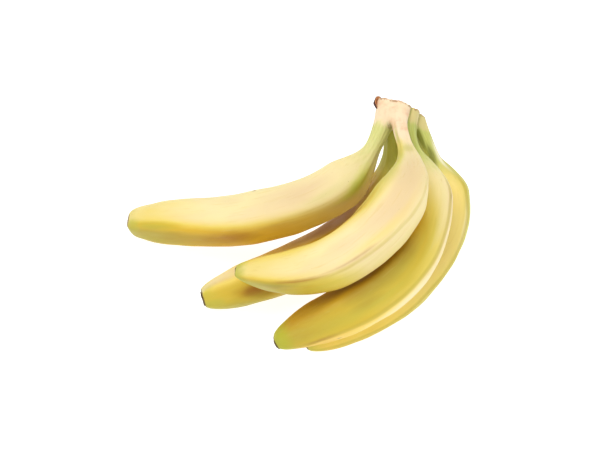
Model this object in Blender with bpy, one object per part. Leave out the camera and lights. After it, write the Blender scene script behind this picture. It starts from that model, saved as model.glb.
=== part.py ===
"""A hand of five bananas, joined at one cut crown and lying on its flank.

Each banana is a loft: a softened five-sided section is carried along a smooth line, thin in the neck,
full in the body and narrow again at the blossom end. Near their roots the necks swell until they meet,
which makes the crown. All of it is fused into one solid, as it grew, then cut flat across the crown and
trimmed where it rests on the table.

The origin is on the table, under the middle of the hand. +X runs towards the necks, +Y towards the
crown's cut face, and +Z is up. Lengths are in millimetres up to the mesh, which is in metres.
"""

import math
from dataclasses import dataclass

import bmesh
import bpy
import numpy as np

MM = 0.001
NODE = "banana_hand"

# Section of a banana: five soft ridges, one of them along the outer side of the bend
RIDGES = 5
RIDGE_SHARPNESS = 7.0
SIDES = 25

# Rings of a banana: close along the neck, wider along the body, closest over the round of the tip
NECK_LENGTH = 42.0
NECK_STEP = 3.5
BODY_STEP = 8.0
TIP_RINGS = (10.0, 7.5, 5.5, 4.0, 2.6, 1.6, 0.5, 0.0)
STUB_LENGTH = 1.6
STUB_ROUNDING = 0.8

# Crown: how softly the necks run together, and where along them that ends
CROWN_SOFTNESS = 3.2
CROWN_FADE = (28.0, 42.0)
CROWN_SEAM = 1.5
RIDGE_FADE = (8.0, 40.0)
SWELL_LIMIT = 30.0
HALVINGS = 24
STRAND_STEP = 1.0

# Web of flesh that fills the groove between the two upper necks, down to the notch between them
WEB_LENGTH = 15.0
WEB_RADIUS = 4.0

# Cut across the crown: a point of the plane, and how its normal turns from +Y towards +X and up
CUT_POINT = (70.0, 78.2, 72.0)
CUT_TURN_DEG = 16.0
CUT_LEAN_DEG = 17.0

# Dried scrap of bract beside the innermost neck
BRACT_AT = (53.5, 76.5, 78.5)
BRACT_RADII = (3.2, 4.2, 5.0)
BRACT_SEGMENTS = 12
BRACT_RINGS = 8

# The table, a little above the lowest skin, so that three small flats carry the hand
TABLE_HEIGHT = 0.0
CUTTER_SIZE = 400.0

# Middle of the hand's outline from above, in the coordinates of the routes; it becomes the origin
MIDDLE = (-0.7, -3.6, 0.0)

# Corners closer together than this are one corner
MERGE_DISTANCE = 0.01

# Edges steeper than this stay crisp in the shading
CREASE_DEG = 50.0

# Fresh peel, between cream and straw yellow
PEEL_COLOR = (0.86, 0.66, 0.20, 1.0)
PEEL_ROUGHNESS = 0.55


@dataclass(frozen=True)
class Finger:
    """One banana. Its route runs from its root, behind the crown's cut, to its tip.

    half_width is half of its thickness in the full body. taper, fullness and bluntness shape the run-out
    to the tip, and the shoulder is where the neck, counted from the root, widens into the body. roll_deg
    turns the ridges round the line, from the outer side of the bend.
    """

    name: str
    route: tuple
    half_width: float
    taper: float
    fullness: float
    bluntness: float
    neck: float
    shoulder: tuple
    tip: float
    roll_deg: float = 0.0


FINGERS = (
    Finger(
        "upper_inner",
        (
            (59.5, 84, 77), (54.5, 58.5, 71), (43.5, 37.5, 65), (22.5, 18.5, 58),
            (-14, 9, 46.5), (-52, 11, 32.5), (-88, 16.5, 20.8), (-119, 24.3, 6),
        ),
        half_width=18.6, taper=150.0, fullness=2.7, bluntness=0.43,
        neck=5.7, shoulder=(37.0, 76.0), tip=5.5, roll_deg=48.0,
    ),
    Finger(
        "lower_inner",
        (
            (65, 88.5, 69.5), (64, 65.5, 58), (62.5, 48.5, 42), (54.5, 27, 27),
            (30.5, 2.5, 19.6), (-3, -16, 16.6), (-36.5, -29.3, 13.6), (-68.2, -38.6, 10.2),
        ),
        half_width=16.8, taper=125.0, fullness=4.0, bluntness=0.55,
        neck=5.8, shoulder=(38.0, 81.0), tip=5.2, roll_deg=48.0,
    ),
    Finger(
        "upper_outer",
        (
            (70, 80.5, 79), (68, 55.5, 81.5), (72, 32, 85.5), (70.5, 5, 90.5),
            (51.5, -27.5, 89), (19.5, -47.5, 78.3), (-14, -47, 63.6), (-42, -37, 46.5),
        ),
        half_width=18.7, taper=112.0, fullness=2.3, bluntness=0.75,
        neck=4.8, shoulder=(39.0, 93.0), tip=4.6, roll_deg=24.0,
    ),
    Finger(
        "middle_outer",
        (
            (79.5, 86.5, 75), (74.5, 58.5, 64.5), (82.5, 36.5, 58), (86, 7.5, 55.5),
            (75.5, -29.5, 54.8), (47.5, -59.5, 53.8), (14.5, -75, 46), (-16.8, -83.9, 32.4),
        ),
        half_width=17.9, taper=130.0, fullness=3.6, bluntness=0.64,
        neck=5.4, shoulder=(37.0, 81.0), tip=4.8, roll_deg=36.0,
    ),
    Finger(
        "lower_outer",
        (
            (77.5, 88, 65), (85.5, 66, 53.5), (95.5, 52, 34), (102, 27, 19.8),
            (89.2, -8.2, 17.8), (64.7, -38.5, 18), (32.5, -58.5, 16.7), (-2, -74, 12),
        ),
        half_width=17.8, taper=105.0, fullness=4.5, bluntness=0.51,
        neck=5.2, shoulder=(43.0, 73.0), tip=5.4, roll_deg=30.0,
    ),
)
UPPER_INNER = 0
UPPER_OUTER = 2


def clear_scene():
    """Removes every object that is in the scene."""
    for obj in list(bpy.data.objects):
        bpy.data.objects.remove(obj, do_unlink=True)


def new_collection(name, hidden=False):
    """A collection of the scene. A hidden one holds shapes that aren't part of the object."""
    collection = bpy.data.collections.new(name)
    collection.hide_render = hidden
    bpy.context.scene.collection.children.link(collection)
    return collection


def smooth_line(route, step=0.5):
    """The natural cubic spline through the route's points, as closely spaced points and their distances."""
    points = np.array(route, float)
    lengths = np.linalg.norm(np.diff(points, axis=0), axis=1)
    knots = np.concatenate([[0.0], np.cumsum(lengths)])
    inner = len(points) - 2
    system = np.zeros((inner, inner))
    for i in range(inner):
        system[i, i] = 2.0 * (lengths[i] + lengths[i + 1])
        if i > 0:
            system[i, i - 1] = lengths[i]
        if i < inner - 1:
            system[i, i + 1] = lengths[i + 1]
    slopes = np.diff(points, axis=0) / lengths[:, None]
    bends = np.zeros_like(points)
    bends[1:-1] = np.linalg.solve(system, 6.0 * np.diff(slopes, axis=0))
    at = np.linspace(0.0, knots[-1], int(knots[-1] / step))
    span = np.clip(np.searchsorted(knots, at, side="right") - 1, 0, len(lengths) - 1)
    width = lengths[span][:, None]
    after = (at - knots[span])[:, None]
    before = width - after
    line = (
        (bends[span] * before**3 + bends[span + 1] * after**3) / (6.0 * width)
        + (points[span] / width - bends[span] * width / 6.0) * before
        + (points[span + 1] / width - bends[span + 1] * width / 6.0) * after
    )
    walked = np.concatenate([[0.0], np.cumsum(np.linalg.norm(np.diff(line, axis=0), axis=1))])
    return line, walked


def along(line, walked, distances):
    """Points of the line at these distances from its start."""
    return np.stack([np.interp(distances, walked, line[:, axis]) for axis in range(3)], axis=1)


def section_outline():
    """Angles round the section, from the outer ridge, and the radius at each as a share of the half width.

    The radius is a softened polygon: the p-norm of how far the direction faces each of the flat sides.
    """
    angles = np.linspace(0.0, 2.0 * math.pi, SIDES, endpoint=False)
    faces = (np.arange(RIDGES) + 0.5) * 2.0 * math.pi / RIDGES
    facing = np.maximum(np.cos(angles[:, None] - faces[None, :]), 0.0)
    radius = (facing**RIDGE_SHARPNESS).sum(axis=1) ** (-1.0 / RIDGE_SHARPNESS)
    return angles, 2.0 * radius / (radius.max() + radius.min())


def ease(values, start, end):
    """A smooth step from 0 at start to 1 at end."""
    part = np.clip((values - start) / (end - start), 0.0, 1.0)
    return part * part * (3.0 - 2.0 * part)


def girth(finger, distances, length):
    """Half width of a banana: a long taper to the tip times a soft step up from the neck."""
    from_tip = np.clip((length - distances - STUB_LENGTH) / finger.taper, 0.0, 1.0)
    rise = (1.0 - (1.0 - from_tip) ** finger.fullness) ** finger.bluntness
    body = finger.tip + (finger.half_width - finger.tip) * rise
    slim = finger.neck / finger.half_width
    return body * (slim + (1.0 - slim) * ease(distances, *finger.shoulder))


def placed(points):
    """Points in the routes' millimetres, as metres from the origin."""
    return (np.asarray(points, float) - np.array(MIDDLE)) * MM


def add_mesh(name, points, faces, collection):
    """A mesh object from points in millimetres."""
    mesh = bpy.data.meshes.new(name)
    mesh.from_pydata([tuple(point) for point in placed(points)], [], faces)
    obj = bpy.data.objects.new(name, mesh)
    collection.objects.link(obj)
    return obj


def loft(name, rings, collection):
    """A closed body through rings with the same number of points, with a fan over each end."""
    count, sides = len(rings), len(rings[0])
    points = np.concatenate([np.concatenate(rings), [rings[0].mean(axis=0)], [rings[-1].mean(axis=0)]])
    faces = []
    for row in range(count - 1):
        for side in range(sides):
            following = (side + 1) % sides
            low, high = row * sides, (row + 1) * sides
            faces.append((low + side, low + following, high + following, high + side))
    last = (count - 1) * sides
    for side in range(sides):
        following = (side + 1) % sides
        faces.append((count * sides, following, side))
        faces.append((count * sides + 1, last + side, last + following))
    obj = add_mesh(name, points, faces, collection)
    work = bmesh.new()
    work.from_mesh(obj.data)
    bmesh.ops.recalc_face_normals(work, faces=work.faces)
    work.to_mesh(obj.data)
    work.free()
    return obj


class Strand:
    """A line with a half width at each of its points, to measure distances from."""

    def __init__(self, points, radii):
        self.points = points
        self.radii = radii

    def distances(self, places):
        """Distance of each place to the line, and to the skin round it."""
        apart = np.linalg.norm(places[:, None, :] - self.points[None, :, :], axis=2)
        nearest = apart.argmin(axis=1)
        to_line = apart[np.arange(len(places)), nearest]
        return to_line, to_line - self.radii[nearest]


def neck_strand(finger):
    """The first stretch of a banana's own line."""
    line, walked = smooth_line(finger.route)
    at = np.arange(0.0, NECK_LENGTH + SWELL_LIMIT, STRAND_STEP)
    return Strand(along(line, walked, at), girth(finger, at, walked[-1]))


def web_strand(one, other):
    """A line halfway between two necks, from the roots down."""
    at = np.arange(0.0, WEB_LENGTH, STRAND_STEP)
    halfway = (one.points[: len(at)] + other.points[: len(at)]) / 2.0
    return Strand(halfway, np.full(len(at), WEB_RADIUS))


def swollen_reach(necks, webs, own, centres, directions):
    """How far the fused skin lies from a neck's line, along each direction.

    The fused skin is where the sum of exp(-distance to skin / softness) over the strands is 1. Past
    halfway to the next neck it is drawn inwards, so each neck's own surface dips under its neighbour's.
    Halving the interval finds where the ray leaves it.
    """
    low = np.zeros(len(centres))
    high = np.full(len(centres), SWELL_LIMIT)
    for _ in range(HALVINGS):
        reach = (low + high) / 2.0
        places = centres + reach[:, None] * directions
        measured = [strand.distances(places) for strand in necks + webs]
        blend = sum(np.exp(-to_skin / CROWN_SOFTNESS) for _, to_skin in measured)
        outside = -CROWN_SOFTNESS * np.log(blend)
        to_own = measured[own][0]
        to_others = [measured[index][0] for index in range(len(necks)) if index != own]
        outside += CROWN_SEAM * np.maximum(to_own - np.min(to_others, axis=0), 0.0)
        low = np.where(outside < 0.0, reach, low)
        high = np.where(outside < 0.0, high, reach)
    return (low + high) / 2.0


def ring_distances(length):
    """Where the rings of a banana stand along its line."""
    neck = np.arange(0.0, NECK_LENGTH, NECK_STEP)
    body_end = length - TIP_RINGS[0]
    body = np.linspace(NECK_LENGTH, body_end, round((body_end - NECK_LENGTH) / BODY_STEP))
    tip = length - np.array(TIP_RINGS[1:])
    return np.concatenate([neck, body, tip])


def ring_directions(finger, line, walked, distances, angles):
    """The directions of every ring's points. Angle 0 faces the outer side of the banana's bend."""
    length = walked[-1]
    tangents = along(line, walked, np.minimum(distances + 1.0, length))
    tangents -= along(line, walked, np.maximum(distances - 1.0, 0.0))
    tangents /= np.linalg.norm(tangents, axis=1)[:, None]
    middle = along(line, walked, [length / 2.0])[0]
    bend_axis = np.cross(middle - line[0], line[-1] - middle)
    outward = np.cross(tangents, bend_axis)
    outward /= np.linalg.norm(outward, axis=1)[:, None]
    sideways = np.cross(tangents, outward)
    turned = angles + math.radians(finger.roll_deg)
    cosines = np.cos(turned)[None, :, None]
    sines = np.sin(turned)[None, :, None]
    return cosines * outward[:, None, :] + sines * sideways[:, None, :]


def add_finger(index, necks, webs, collection):
    """One banana: its section, turned with the bend, at rings along its line."""
    finger = FINGERS[index]
    line, walked = smooth_line(finger.route)
    distances = ring_distances(walked[-1])
    centres = along(line, walked, distances)
    angles, shape = section_outline()
    directions = ring_directions(finger, line, walked, distances, angles)
    radii = girth(finger, distances, walked[-1])
    radii[-1] *= STUB_ROUNDING
    reach = np.repeat(radii[:, None], SIDES, axis=1)
    rooted = distances < CROWN_FADE[1]
    starts = np.repeat(centres[rooted], SIDES, axis=0)
    swollen = swollen_reach(necks, webs, index, starts, directions[rooted].reshape(-1, 3))
    alone = ease(distances[rooted], *CROWN_FADE)[:, None]
    reach[rooted] += (swollen.reshape(-1, SIDES) - reach[rooted]) * (1.0 - alone)
    ridged = 1.0 + (shape[None, :] - 1.0) * ease(distances, *RIDGE_FADE)[:, None]
    rings = centres[:, None, :] + (reach * ridged)[:, :, None] * directions
    return loft(finger.name, list(rings), collection)


def add_bract(collection):
    """The dried scrap, a small flattened ball sunk into the side of the crown."""
    work = bmesh.new()
    bmesh.ops.create_uvsphere(work, u_segments=BRACT_SEGMENTS, v_segments=BRACT_RINGS, radius=1.0)
    for vert in work.verts:
        vert.co = placed(np.array(BRACT_AT) + np.array(BRACT_RADII) * np.array(vert.co))
    mesh = bpy.data.meshes.new("bract")
    work.to_mesh(mesh)
    work.free()
    obj = bpy.data.objects.new("bract", mesh)
    collection.objects.link(obj)
    return obj


def add_cutter(name, face_point, turn_deg, lean_deg, collection):
    """A block behind the plane through face_point, whose normal turns from +Y to +X and leans up."""
    work = bmesh.new()
    bmesh.ops.create_cube(work, size=CUTTER_SIZE * MM)
    bmesh.ops.translate(work, verts=work.verts, vec=(0.0, CUTTER_SIZE / 2.0 * MM, 0.0))
    mesh = bpy.data.meshes.new(name)
    work.to_mesh(mesh)
    work.free()
    obj = bpy.data.objects.new(name, mesh)
    obj.location = placed(face_point)
    obj.rotation_euler = (math.radians(lean_deg), 0.0, -math.radians(turn_deg))
    obj.hide_render = True
    obj.display_type = "WIRE"
    collection.objects.link(obj)
    return obj


def apply_boolean(target, operation, collection):
    """Applies one Boolean with every object of the collection, so that the mesh itself holds its result."""
    modifier = target.modifiers.new(operation.lower(), "BOOLEAN")
    modifier.operation = operation
    modifier.solver = "EXACT"
    modifier.operand_type = "COLLECTION"
    modifier.collection = collection
    bpy.context.view_layer.objects.active = target
    bpy.ops.object.modifier_apply(modifier=modifier.name)


def merge_corners(obj):
    """Joins the corners that the cuts left almost on top of each other."""
    work = bmesh.new()
    work.from_mesh(obj.data)
    bmesh.ops.remove_doubles(work, verts=work.verts, dist=MERGE_DISTANCE * MM)
    bmesh.ops.dissolve_degenerate(work, edges=work.edges, dist=MERGE_DISTANCE * MM / 10.0)
    work.to_mesh(obj.data)
    work.free()


def peel_material():
    """The plain peel of the whole hand."""
    material = bpy.data.materials.new("peel")
    material.use_nodes = True
    shader = material.node_tree.nodes["Principled BSDF"]
    shader.inputs["Base Color"].default_value = PEEL_COLOR
    shader.inputs["Roughness"].default_value = PEEL_ROUGHNESS
    shader.inputs["Metallic"].default_value = 0.0
    material.diffuse_color = PEEL_COLOR
    return material


def build():
    """Builds the whole hand."""
    clear_scene()
    parts = new_collection(NODE)
    joined = new_collection("joined")
    cutters = new_collection("cutters", hidden=True)
    necks = [neck_strand(finger) for finger in FINGERS]
    webs = [web_strand(necks[UPPER_INNER], necks[UPPER_OUTER])]
    hand = add_finger(0, necks, webs, parts)
    hand.name = NODE
    for index in range(1, len(FINGERS)):
        add_finger(index, necks, webs, joined)
    add_bract(joined)
    apply_boolean(hand, "UNION", joined)
    for obj in list(joined.objects):
        bpy.data.objects.remove(obj, do_unlink=True)
    bpy.data.collections.remove(joined)
    add_cutter("crown_cut", CUT_POINT, CUT_TURN_DEG, CUT_LEAN_DEG, cutters)
    add_cutter("table", (0.0, 0.0, TABLE_HEIGHT), 0.0, -90.0, cutters)
    apply_boolean(hand, "DIFFERENCE", cutters)
    merge_corners(hand)
    hand.data.materials.append(peel_material())
    hand.data.shade_smooth()
    hand.data.set_sharp_from_angle(angle=math.radians(CREASE_DEG))


build()
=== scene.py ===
"""A hand of five ripe bananas on a pale floor.

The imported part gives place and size. Its plain solid is replaced by the fruit as it grows: softly ridged
skin, thin fibrous necks that run together in a crown, the rough cut across it, a dried scrap of bract and
the dried blossom ends. Lengths are in millimetres up to the meshes, which are in metres like the studio.
"""

import logging
import math
from dataclasses import dataclass
from enum import Enum

import bmesh
import bpy
import numpy as np
from numpy.typing import NDArray
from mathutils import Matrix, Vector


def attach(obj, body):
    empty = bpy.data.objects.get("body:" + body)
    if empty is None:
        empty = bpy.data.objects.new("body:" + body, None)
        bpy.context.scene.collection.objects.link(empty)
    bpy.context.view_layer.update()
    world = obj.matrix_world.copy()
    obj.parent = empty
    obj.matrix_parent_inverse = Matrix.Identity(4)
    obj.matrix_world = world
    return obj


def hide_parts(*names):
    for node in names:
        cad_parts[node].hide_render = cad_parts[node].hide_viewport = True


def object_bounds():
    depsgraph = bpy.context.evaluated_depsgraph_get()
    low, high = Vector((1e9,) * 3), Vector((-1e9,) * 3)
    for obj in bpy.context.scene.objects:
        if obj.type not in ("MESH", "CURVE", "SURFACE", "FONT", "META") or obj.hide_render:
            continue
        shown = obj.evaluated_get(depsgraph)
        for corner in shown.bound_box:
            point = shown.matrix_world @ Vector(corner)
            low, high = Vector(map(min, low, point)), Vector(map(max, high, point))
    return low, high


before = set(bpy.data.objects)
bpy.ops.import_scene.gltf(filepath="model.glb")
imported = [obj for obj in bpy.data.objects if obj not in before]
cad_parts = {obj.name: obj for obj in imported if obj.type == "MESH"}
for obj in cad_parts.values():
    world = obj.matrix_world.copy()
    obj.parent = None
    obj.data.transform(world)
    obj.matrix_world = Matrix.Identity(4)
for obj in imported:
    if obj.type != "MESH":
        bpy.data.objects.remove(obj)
CAD_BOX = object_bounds()

LOG = logging.getLogger("hand_of_bananas")

Floats = NDArray[np.float64]
Point = tuple[float, float, float]
PerFace = tuple[float, float, float, float, float]
Stations = tuple[PerFace, PerFace, PerFace]
Sockets = dict[str | int, object]

MM = 0.001
NODE = "banana_hand"
BODY = "root"

# Middle of the hand's outline from above, in the coordinates of the routes; it is the part's origin
MIDDLE = np.array([-0.7, -3.6, 0.0])
# The two bananas on top of the hand, as numbers in BANANAS
UPPER_PAIR = (0, 2)


def placed(points: Floats) -> Floats:
    """Points in the routes' millimetres, as metres from the part's origin."""
    return (np.asarray(points, float) - MIDDLE) * MM


def ease(values: Floats, start: float, end: float) -> Floats:
    """A smooth step: 3t^2 - 2t^3, where t runs from 0 at start to 1 at end and is held outside them.

    Args:
        values: Where the step is read.
        start: Last value that gives 0.
        end: First value that gives 1.

    Returns:
        The step at each value.
    """
    part = np.clip((np.asarray(values, float) - start) / (end - start), 0.0, 1.0)
    return part * part * (3.0 - 2.0 * part)


def unit(vectors: Floats) -> Floats:
    """Vectors along the last axis, each divided by its length."""
    return vectors / np.linalg.norm(vectors, axis=-1, keepdims=True)


def wrapped(angles: Floats) -> Floats:
    """Angles brought to within half a turn of zero, either way."""
    return (angles + math.pi) % (2.0 * math.pi) - math.pi


def linear(colour: str) -> tuple[float, float, float, float]:
    """An sRGB hex colour as linear light, by the curve that the sRGB standard gives.

    Args:
        colour: The colour, such as "#F0D060".

    Returns:
        Red, green and blue from 0 to 1, and an alpha of 1.
    """
    channels = [int(colour[at : at + 2], 16) / 255.0 for at in (1, 3, 5)]
    red, green, blue = (c / 12.92 if c <= 0.04045 else ((c + 0.055) / 1.055) ** 2.4 for c in channels)
    return (red, green, blue, 1.0)


# Meshes: from arrays to closed objects, and back


def mesh_object(name: str, points: Floats, faces: list[NDArray[np.int64]]) -> bpy.types.Object:
    """A mesh object from arrays.

    Args:
        name: The object's name.
        points: Points in the routes' millimetres, one a row.
        faces: Arrays of faces, each with one face a row; quads and triangles may be mixed.

    Returns:
        The object, linked to the scene, with normals that point outwards.
    """
    mesh = bpy.data.meshes.new(name)
    mesh.from_pydata(placed(points).tolist(), [], [face for block in faces for face in block.tolist()])
    work = bmesh.new()
    work.from_mesh(mesh)
    bmesh.ops.recalc_face_normals(work, faces=work.faces)
    work.to_mesh(mesh)
    work.free()
    obj = bpy.data.objects.new(name, mesh)
    bpy.context.scene.collection.objects.link(obj)
    return obj


def tube_faces(rows: int, sides: int) -> list[NDArray[np.int64]]:
    """Faces of a closed tube: quads between rings of points, and a fan of triangles over each end.

    Args:
        rows: Number of rings. Their points come first, ring by ring.
        sides: Points in a ring. The two end points follow the last ring.

    Returns:
        The quads and the triangles, for mesh_object.
    """
    row, side = np.meshgrid(np.arange(rows - 1), np.arange(sides), indexing="ij")
    following = (side + 1) % sides
    here, next_ring = row * sides, (row + 1) * sides
    quads = np.stack([here + side, here + following, next_ring + following, next_ring + side], axis=-1)
    around = np.arange(sides)
    after = (around + 1) % sides
    last = (rows - 1) * sides
    first_fan = np.stack([np.full(sides, rows * sides), after, around], axis=-1)
    last_fan = np.stack([np.full(sides, rows * sides + 1), last + around, last + after], axis=-1)
    return [quads.reshape(-1, 4), first_fan, last_fan]


def tube(name: str, rings: Floats) -> bpy.types.Object:
    """A closed tube through rings.

    Args:
        name: The object's name.
        rings: Points as an array of rings, sides and coordinates.

    Returns:
        The tube's object.
    """
    rows, sides = rings.shape[:2]
    ends = np.stack([rings[0].mean(axis=0), rings[-1].mean(axis=0)])
    return mesh_object(name, np.concatenate([rings.reshape(-1, 3), ends]), tube_faces(rows, sides))


def mesh_points(mesh: bpy.types.Mesh) -> Floats:
    """A mesh's points.

    Args:
        mesh: The mesh.

    Returns:
        The points in the routes' millimetres, one a row.
    """
    flat = np.empty(len(mesh.vertices) * 3)
    mesh.vertices.foreach_get("co", flat)
    return flat.reshape(-1, 3) / MM + MIDDLE


def set_points(mesh: bpy.types.Mesh, points: Floats) -> None:
    """Moves a mesh's points to these places, in the routes' millimetres."""
    mesh.vertices.foreach_set("co", placed(points).ravel())
    mesh.update()


def set_mask(mesh: bpy.types.Mesh, name: str, values: Floats) -> None:
    """Stores one number for each point, which a finish reads by its name."""
    attribute = mesh.attributes.new(name, "FLOAT", "POINT")
    attribute.data.foreach_set("value", np.asarray(values, np.float32))


def combine(target: bpy.types.Object, others: list[bpy.types.Object], operation: str) -> None:
    """Adds or cuts away other closed meshes, applies it and removes them.

    Args:
        target: The object that is changed.
        others: Closed meshes.
        operation: UNION or DIFFERENCE.
    """
    for other in others:
        modifier = target.modifiers.new(operation.lower(), "BOOLEAN")
        modifier.operation = operation
        modifier.solver = "MANIFOLD"
        modifier.object = other
        bpy.context.view_layer.objects.active = target
        bpy.ops.object.modifier_apply(modifier=modifier.name)
        bpy.data.objects.remove(other, do_unlink=True)


def drawn_in(points: Floats, reach: float = 12.0, margin: float = 0.1) -> Floats:
    """Draws points in, softly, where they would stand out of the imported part's box.

    Where the farthest point on a side is over past the box, each point moves in by over times an ease that
    runs from 0, a reach inside the box, to 1 at that farthest point.

    Args:
        points: Points in the routes' millimetres.
        reach: Depth of the zone that gives way.
        margin: How far inside the box they end.

    Returns:
        The moved points.
    """
    moved = points.copy()
    for side, limit in ((-1.0, CAD_BOX[0]), (1.0, CAD_BOX[1])):
        for axis in range(3):
            out = side * moved[:, axis]
            edge = side * (limit[axis] / MM + MIDDLE[axis]) - margin
            if out.max() > edge and not (axis == 2 and side < 0.0):
                moved[:, axis] -= side * (out.max() - edge) * ease(out, edge - reach, out.max())
    return moved


# Shapes: lines, bananas and the crown


@dataclass(frozen=True)
class Line:
    """A smooth line as closely spaced points, with the distance walked to each."""

    points: Floats
    walked: Floats

    # How far ahead and behind a tangent looks, in millimetres
    TANGENT_REACH = 1.0

    @classmethod
    def through(cls, route: tuple[Point, ...], step: float = 0.5) -> "Line":
        """The natural cubic spline through a route, with its knots spaced by chord length.

        Its bends (second derivatives) M solve h0*M0 + 2(h0 + h1)*M1 + h1*M2 = 6(slope1 - slope0) at every
        inner point, with no bend at the ends. Between two points it is
        (M0*b^3 + M1*a^3)/6h + (P0/h - M0*h/6)*b + (P1/h - M1*h/6)*a, for a walked after and b left before.

        Args:
            route: The points it runs through.
            step: Spacing of its own points.

        Returns:
            The line.
        """
        knots = np.array(route, float)
        spans = np.linalg.norm(np.diff(knots, axis=0), axis=1)
        system = np.diag(2.0 * (spans[:-1] + spans[1:]))
        system += np.diag(spans[1:-1], 1) + np.diag(spans[1:-1], -1)
        slopes = np.diff(knots, axis=0) / spans[:, None]
        bends = np.zeros_like(knots)
        bends[1:-1] = np.linalg.solve(system, 6.0 * np.diff(slopes, axis=0))
        starts = np.concatenate([[0.0], np.cumsum(spans)])
        at = np.linspace(0.0, starts[-1], int(starts[-1] / step))
        span = np.clip(np.searchsorted(starts, at, side="right") - 1, 0, len(spans) - 1)
        width = spans[span][:, None]
        after = (at - starts[span])[:, None]
        before = width - after
        points = (
            (bends[span] * before**3 + bends[span + 1] * after**3) / (6.0 * width)
            + (knots[span] / width - bends[span] * width / 6.0) * before
            + (knots[span + 1] / width - bends[span + 1] * width / 6.0) * after
        )
        steps = np.linalg.norm(np.diff(points, axis=0), axis=1)
        return cls(points, np.concatenate([[0.0], np.cumsum(steps)]))

    @property
    def length(self) -> float:
        """The whole length."""
        return float(self.walked[-1])

    def at(self, distances: Floats) -> Floats:
        """Points of the line at these distances from its start."""
        columns = [np.interp(distances, self.walked, self.points[:, axis]) for axis in range(3)]
        return np.stack(columns, axis=1)

    def frames(self, distances: Floats) -> tuple[Floats, Floats, Floats]:
        """Directions at these distances, for a line that bends one way.

        Outward is the tangent crossed with the bend's own axis, and sideways is the tangent crossed with
        outward.

        Args:
            distances: Distances from the start.

        Returns:
            The tangent, the outward and the sideways direction of each.
        """
        ahead = self.at(np.minimum(distances + self.TANGENT_REACH, self.length))
        tangent = unit(ahead - self.at(np.maximum(distances - self.TANGENT_REACH, 0.0)))
        middle = self.at(np.array([self.length / 2.0]))[0]
        axis = np.cross(middle - self.points[0], self.points[-1] - middle)
        outward = unit(np.cross(tangent, axis))
        return tangent, outward, np.cross(tangent, outward)


class Spot(Enum):
    """What marks a banana's skin in one place. Its value names the mask that it adds to.

    DEEP_AND_SHADE is a deeper yellow that turns to ochre, partly the skin's own and partly painted shade
    where another banana shades this one, GREEN the green that has stayed, FRESH a bright yellow-green,
    OLIVE_SHADE painted shade in a dull dark green in hollows and grooves, BLUSH a pinkish tan,
    BRUISE_AND_SHADE a soft brown, partly bruises and partly painted shade under and between the bananas, RUB
    a dark dry scuff and BLOOM a painted pale highlight.
    """

    DEEP_AND_SHADE = "tone_light_and_shade"
    GREEN = "green"
    FRESH = "fresh"
    OLIVE_SHADE = "olive"
    BLUSH = "blush"
    BRUISE_AND_SHADE = "bruise_and_shade"
    RUB = "rub"
    BLOOM = "painted_highlight"


@dataclass(frozen=True)
class Mark:
    """One marked place: where it lies along the banana and round it, and its half sizes in millimetres.

    Its angle is measured from the main ridge, which runs near the outer side of the bend. Depth is its
    strength in the middle; past 1 the full colour reaches farther out.
    """

    spot: Spot
    along: float
    angle_deg: float
    length: float
    width: float
    depth: float = 1.0


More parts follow.
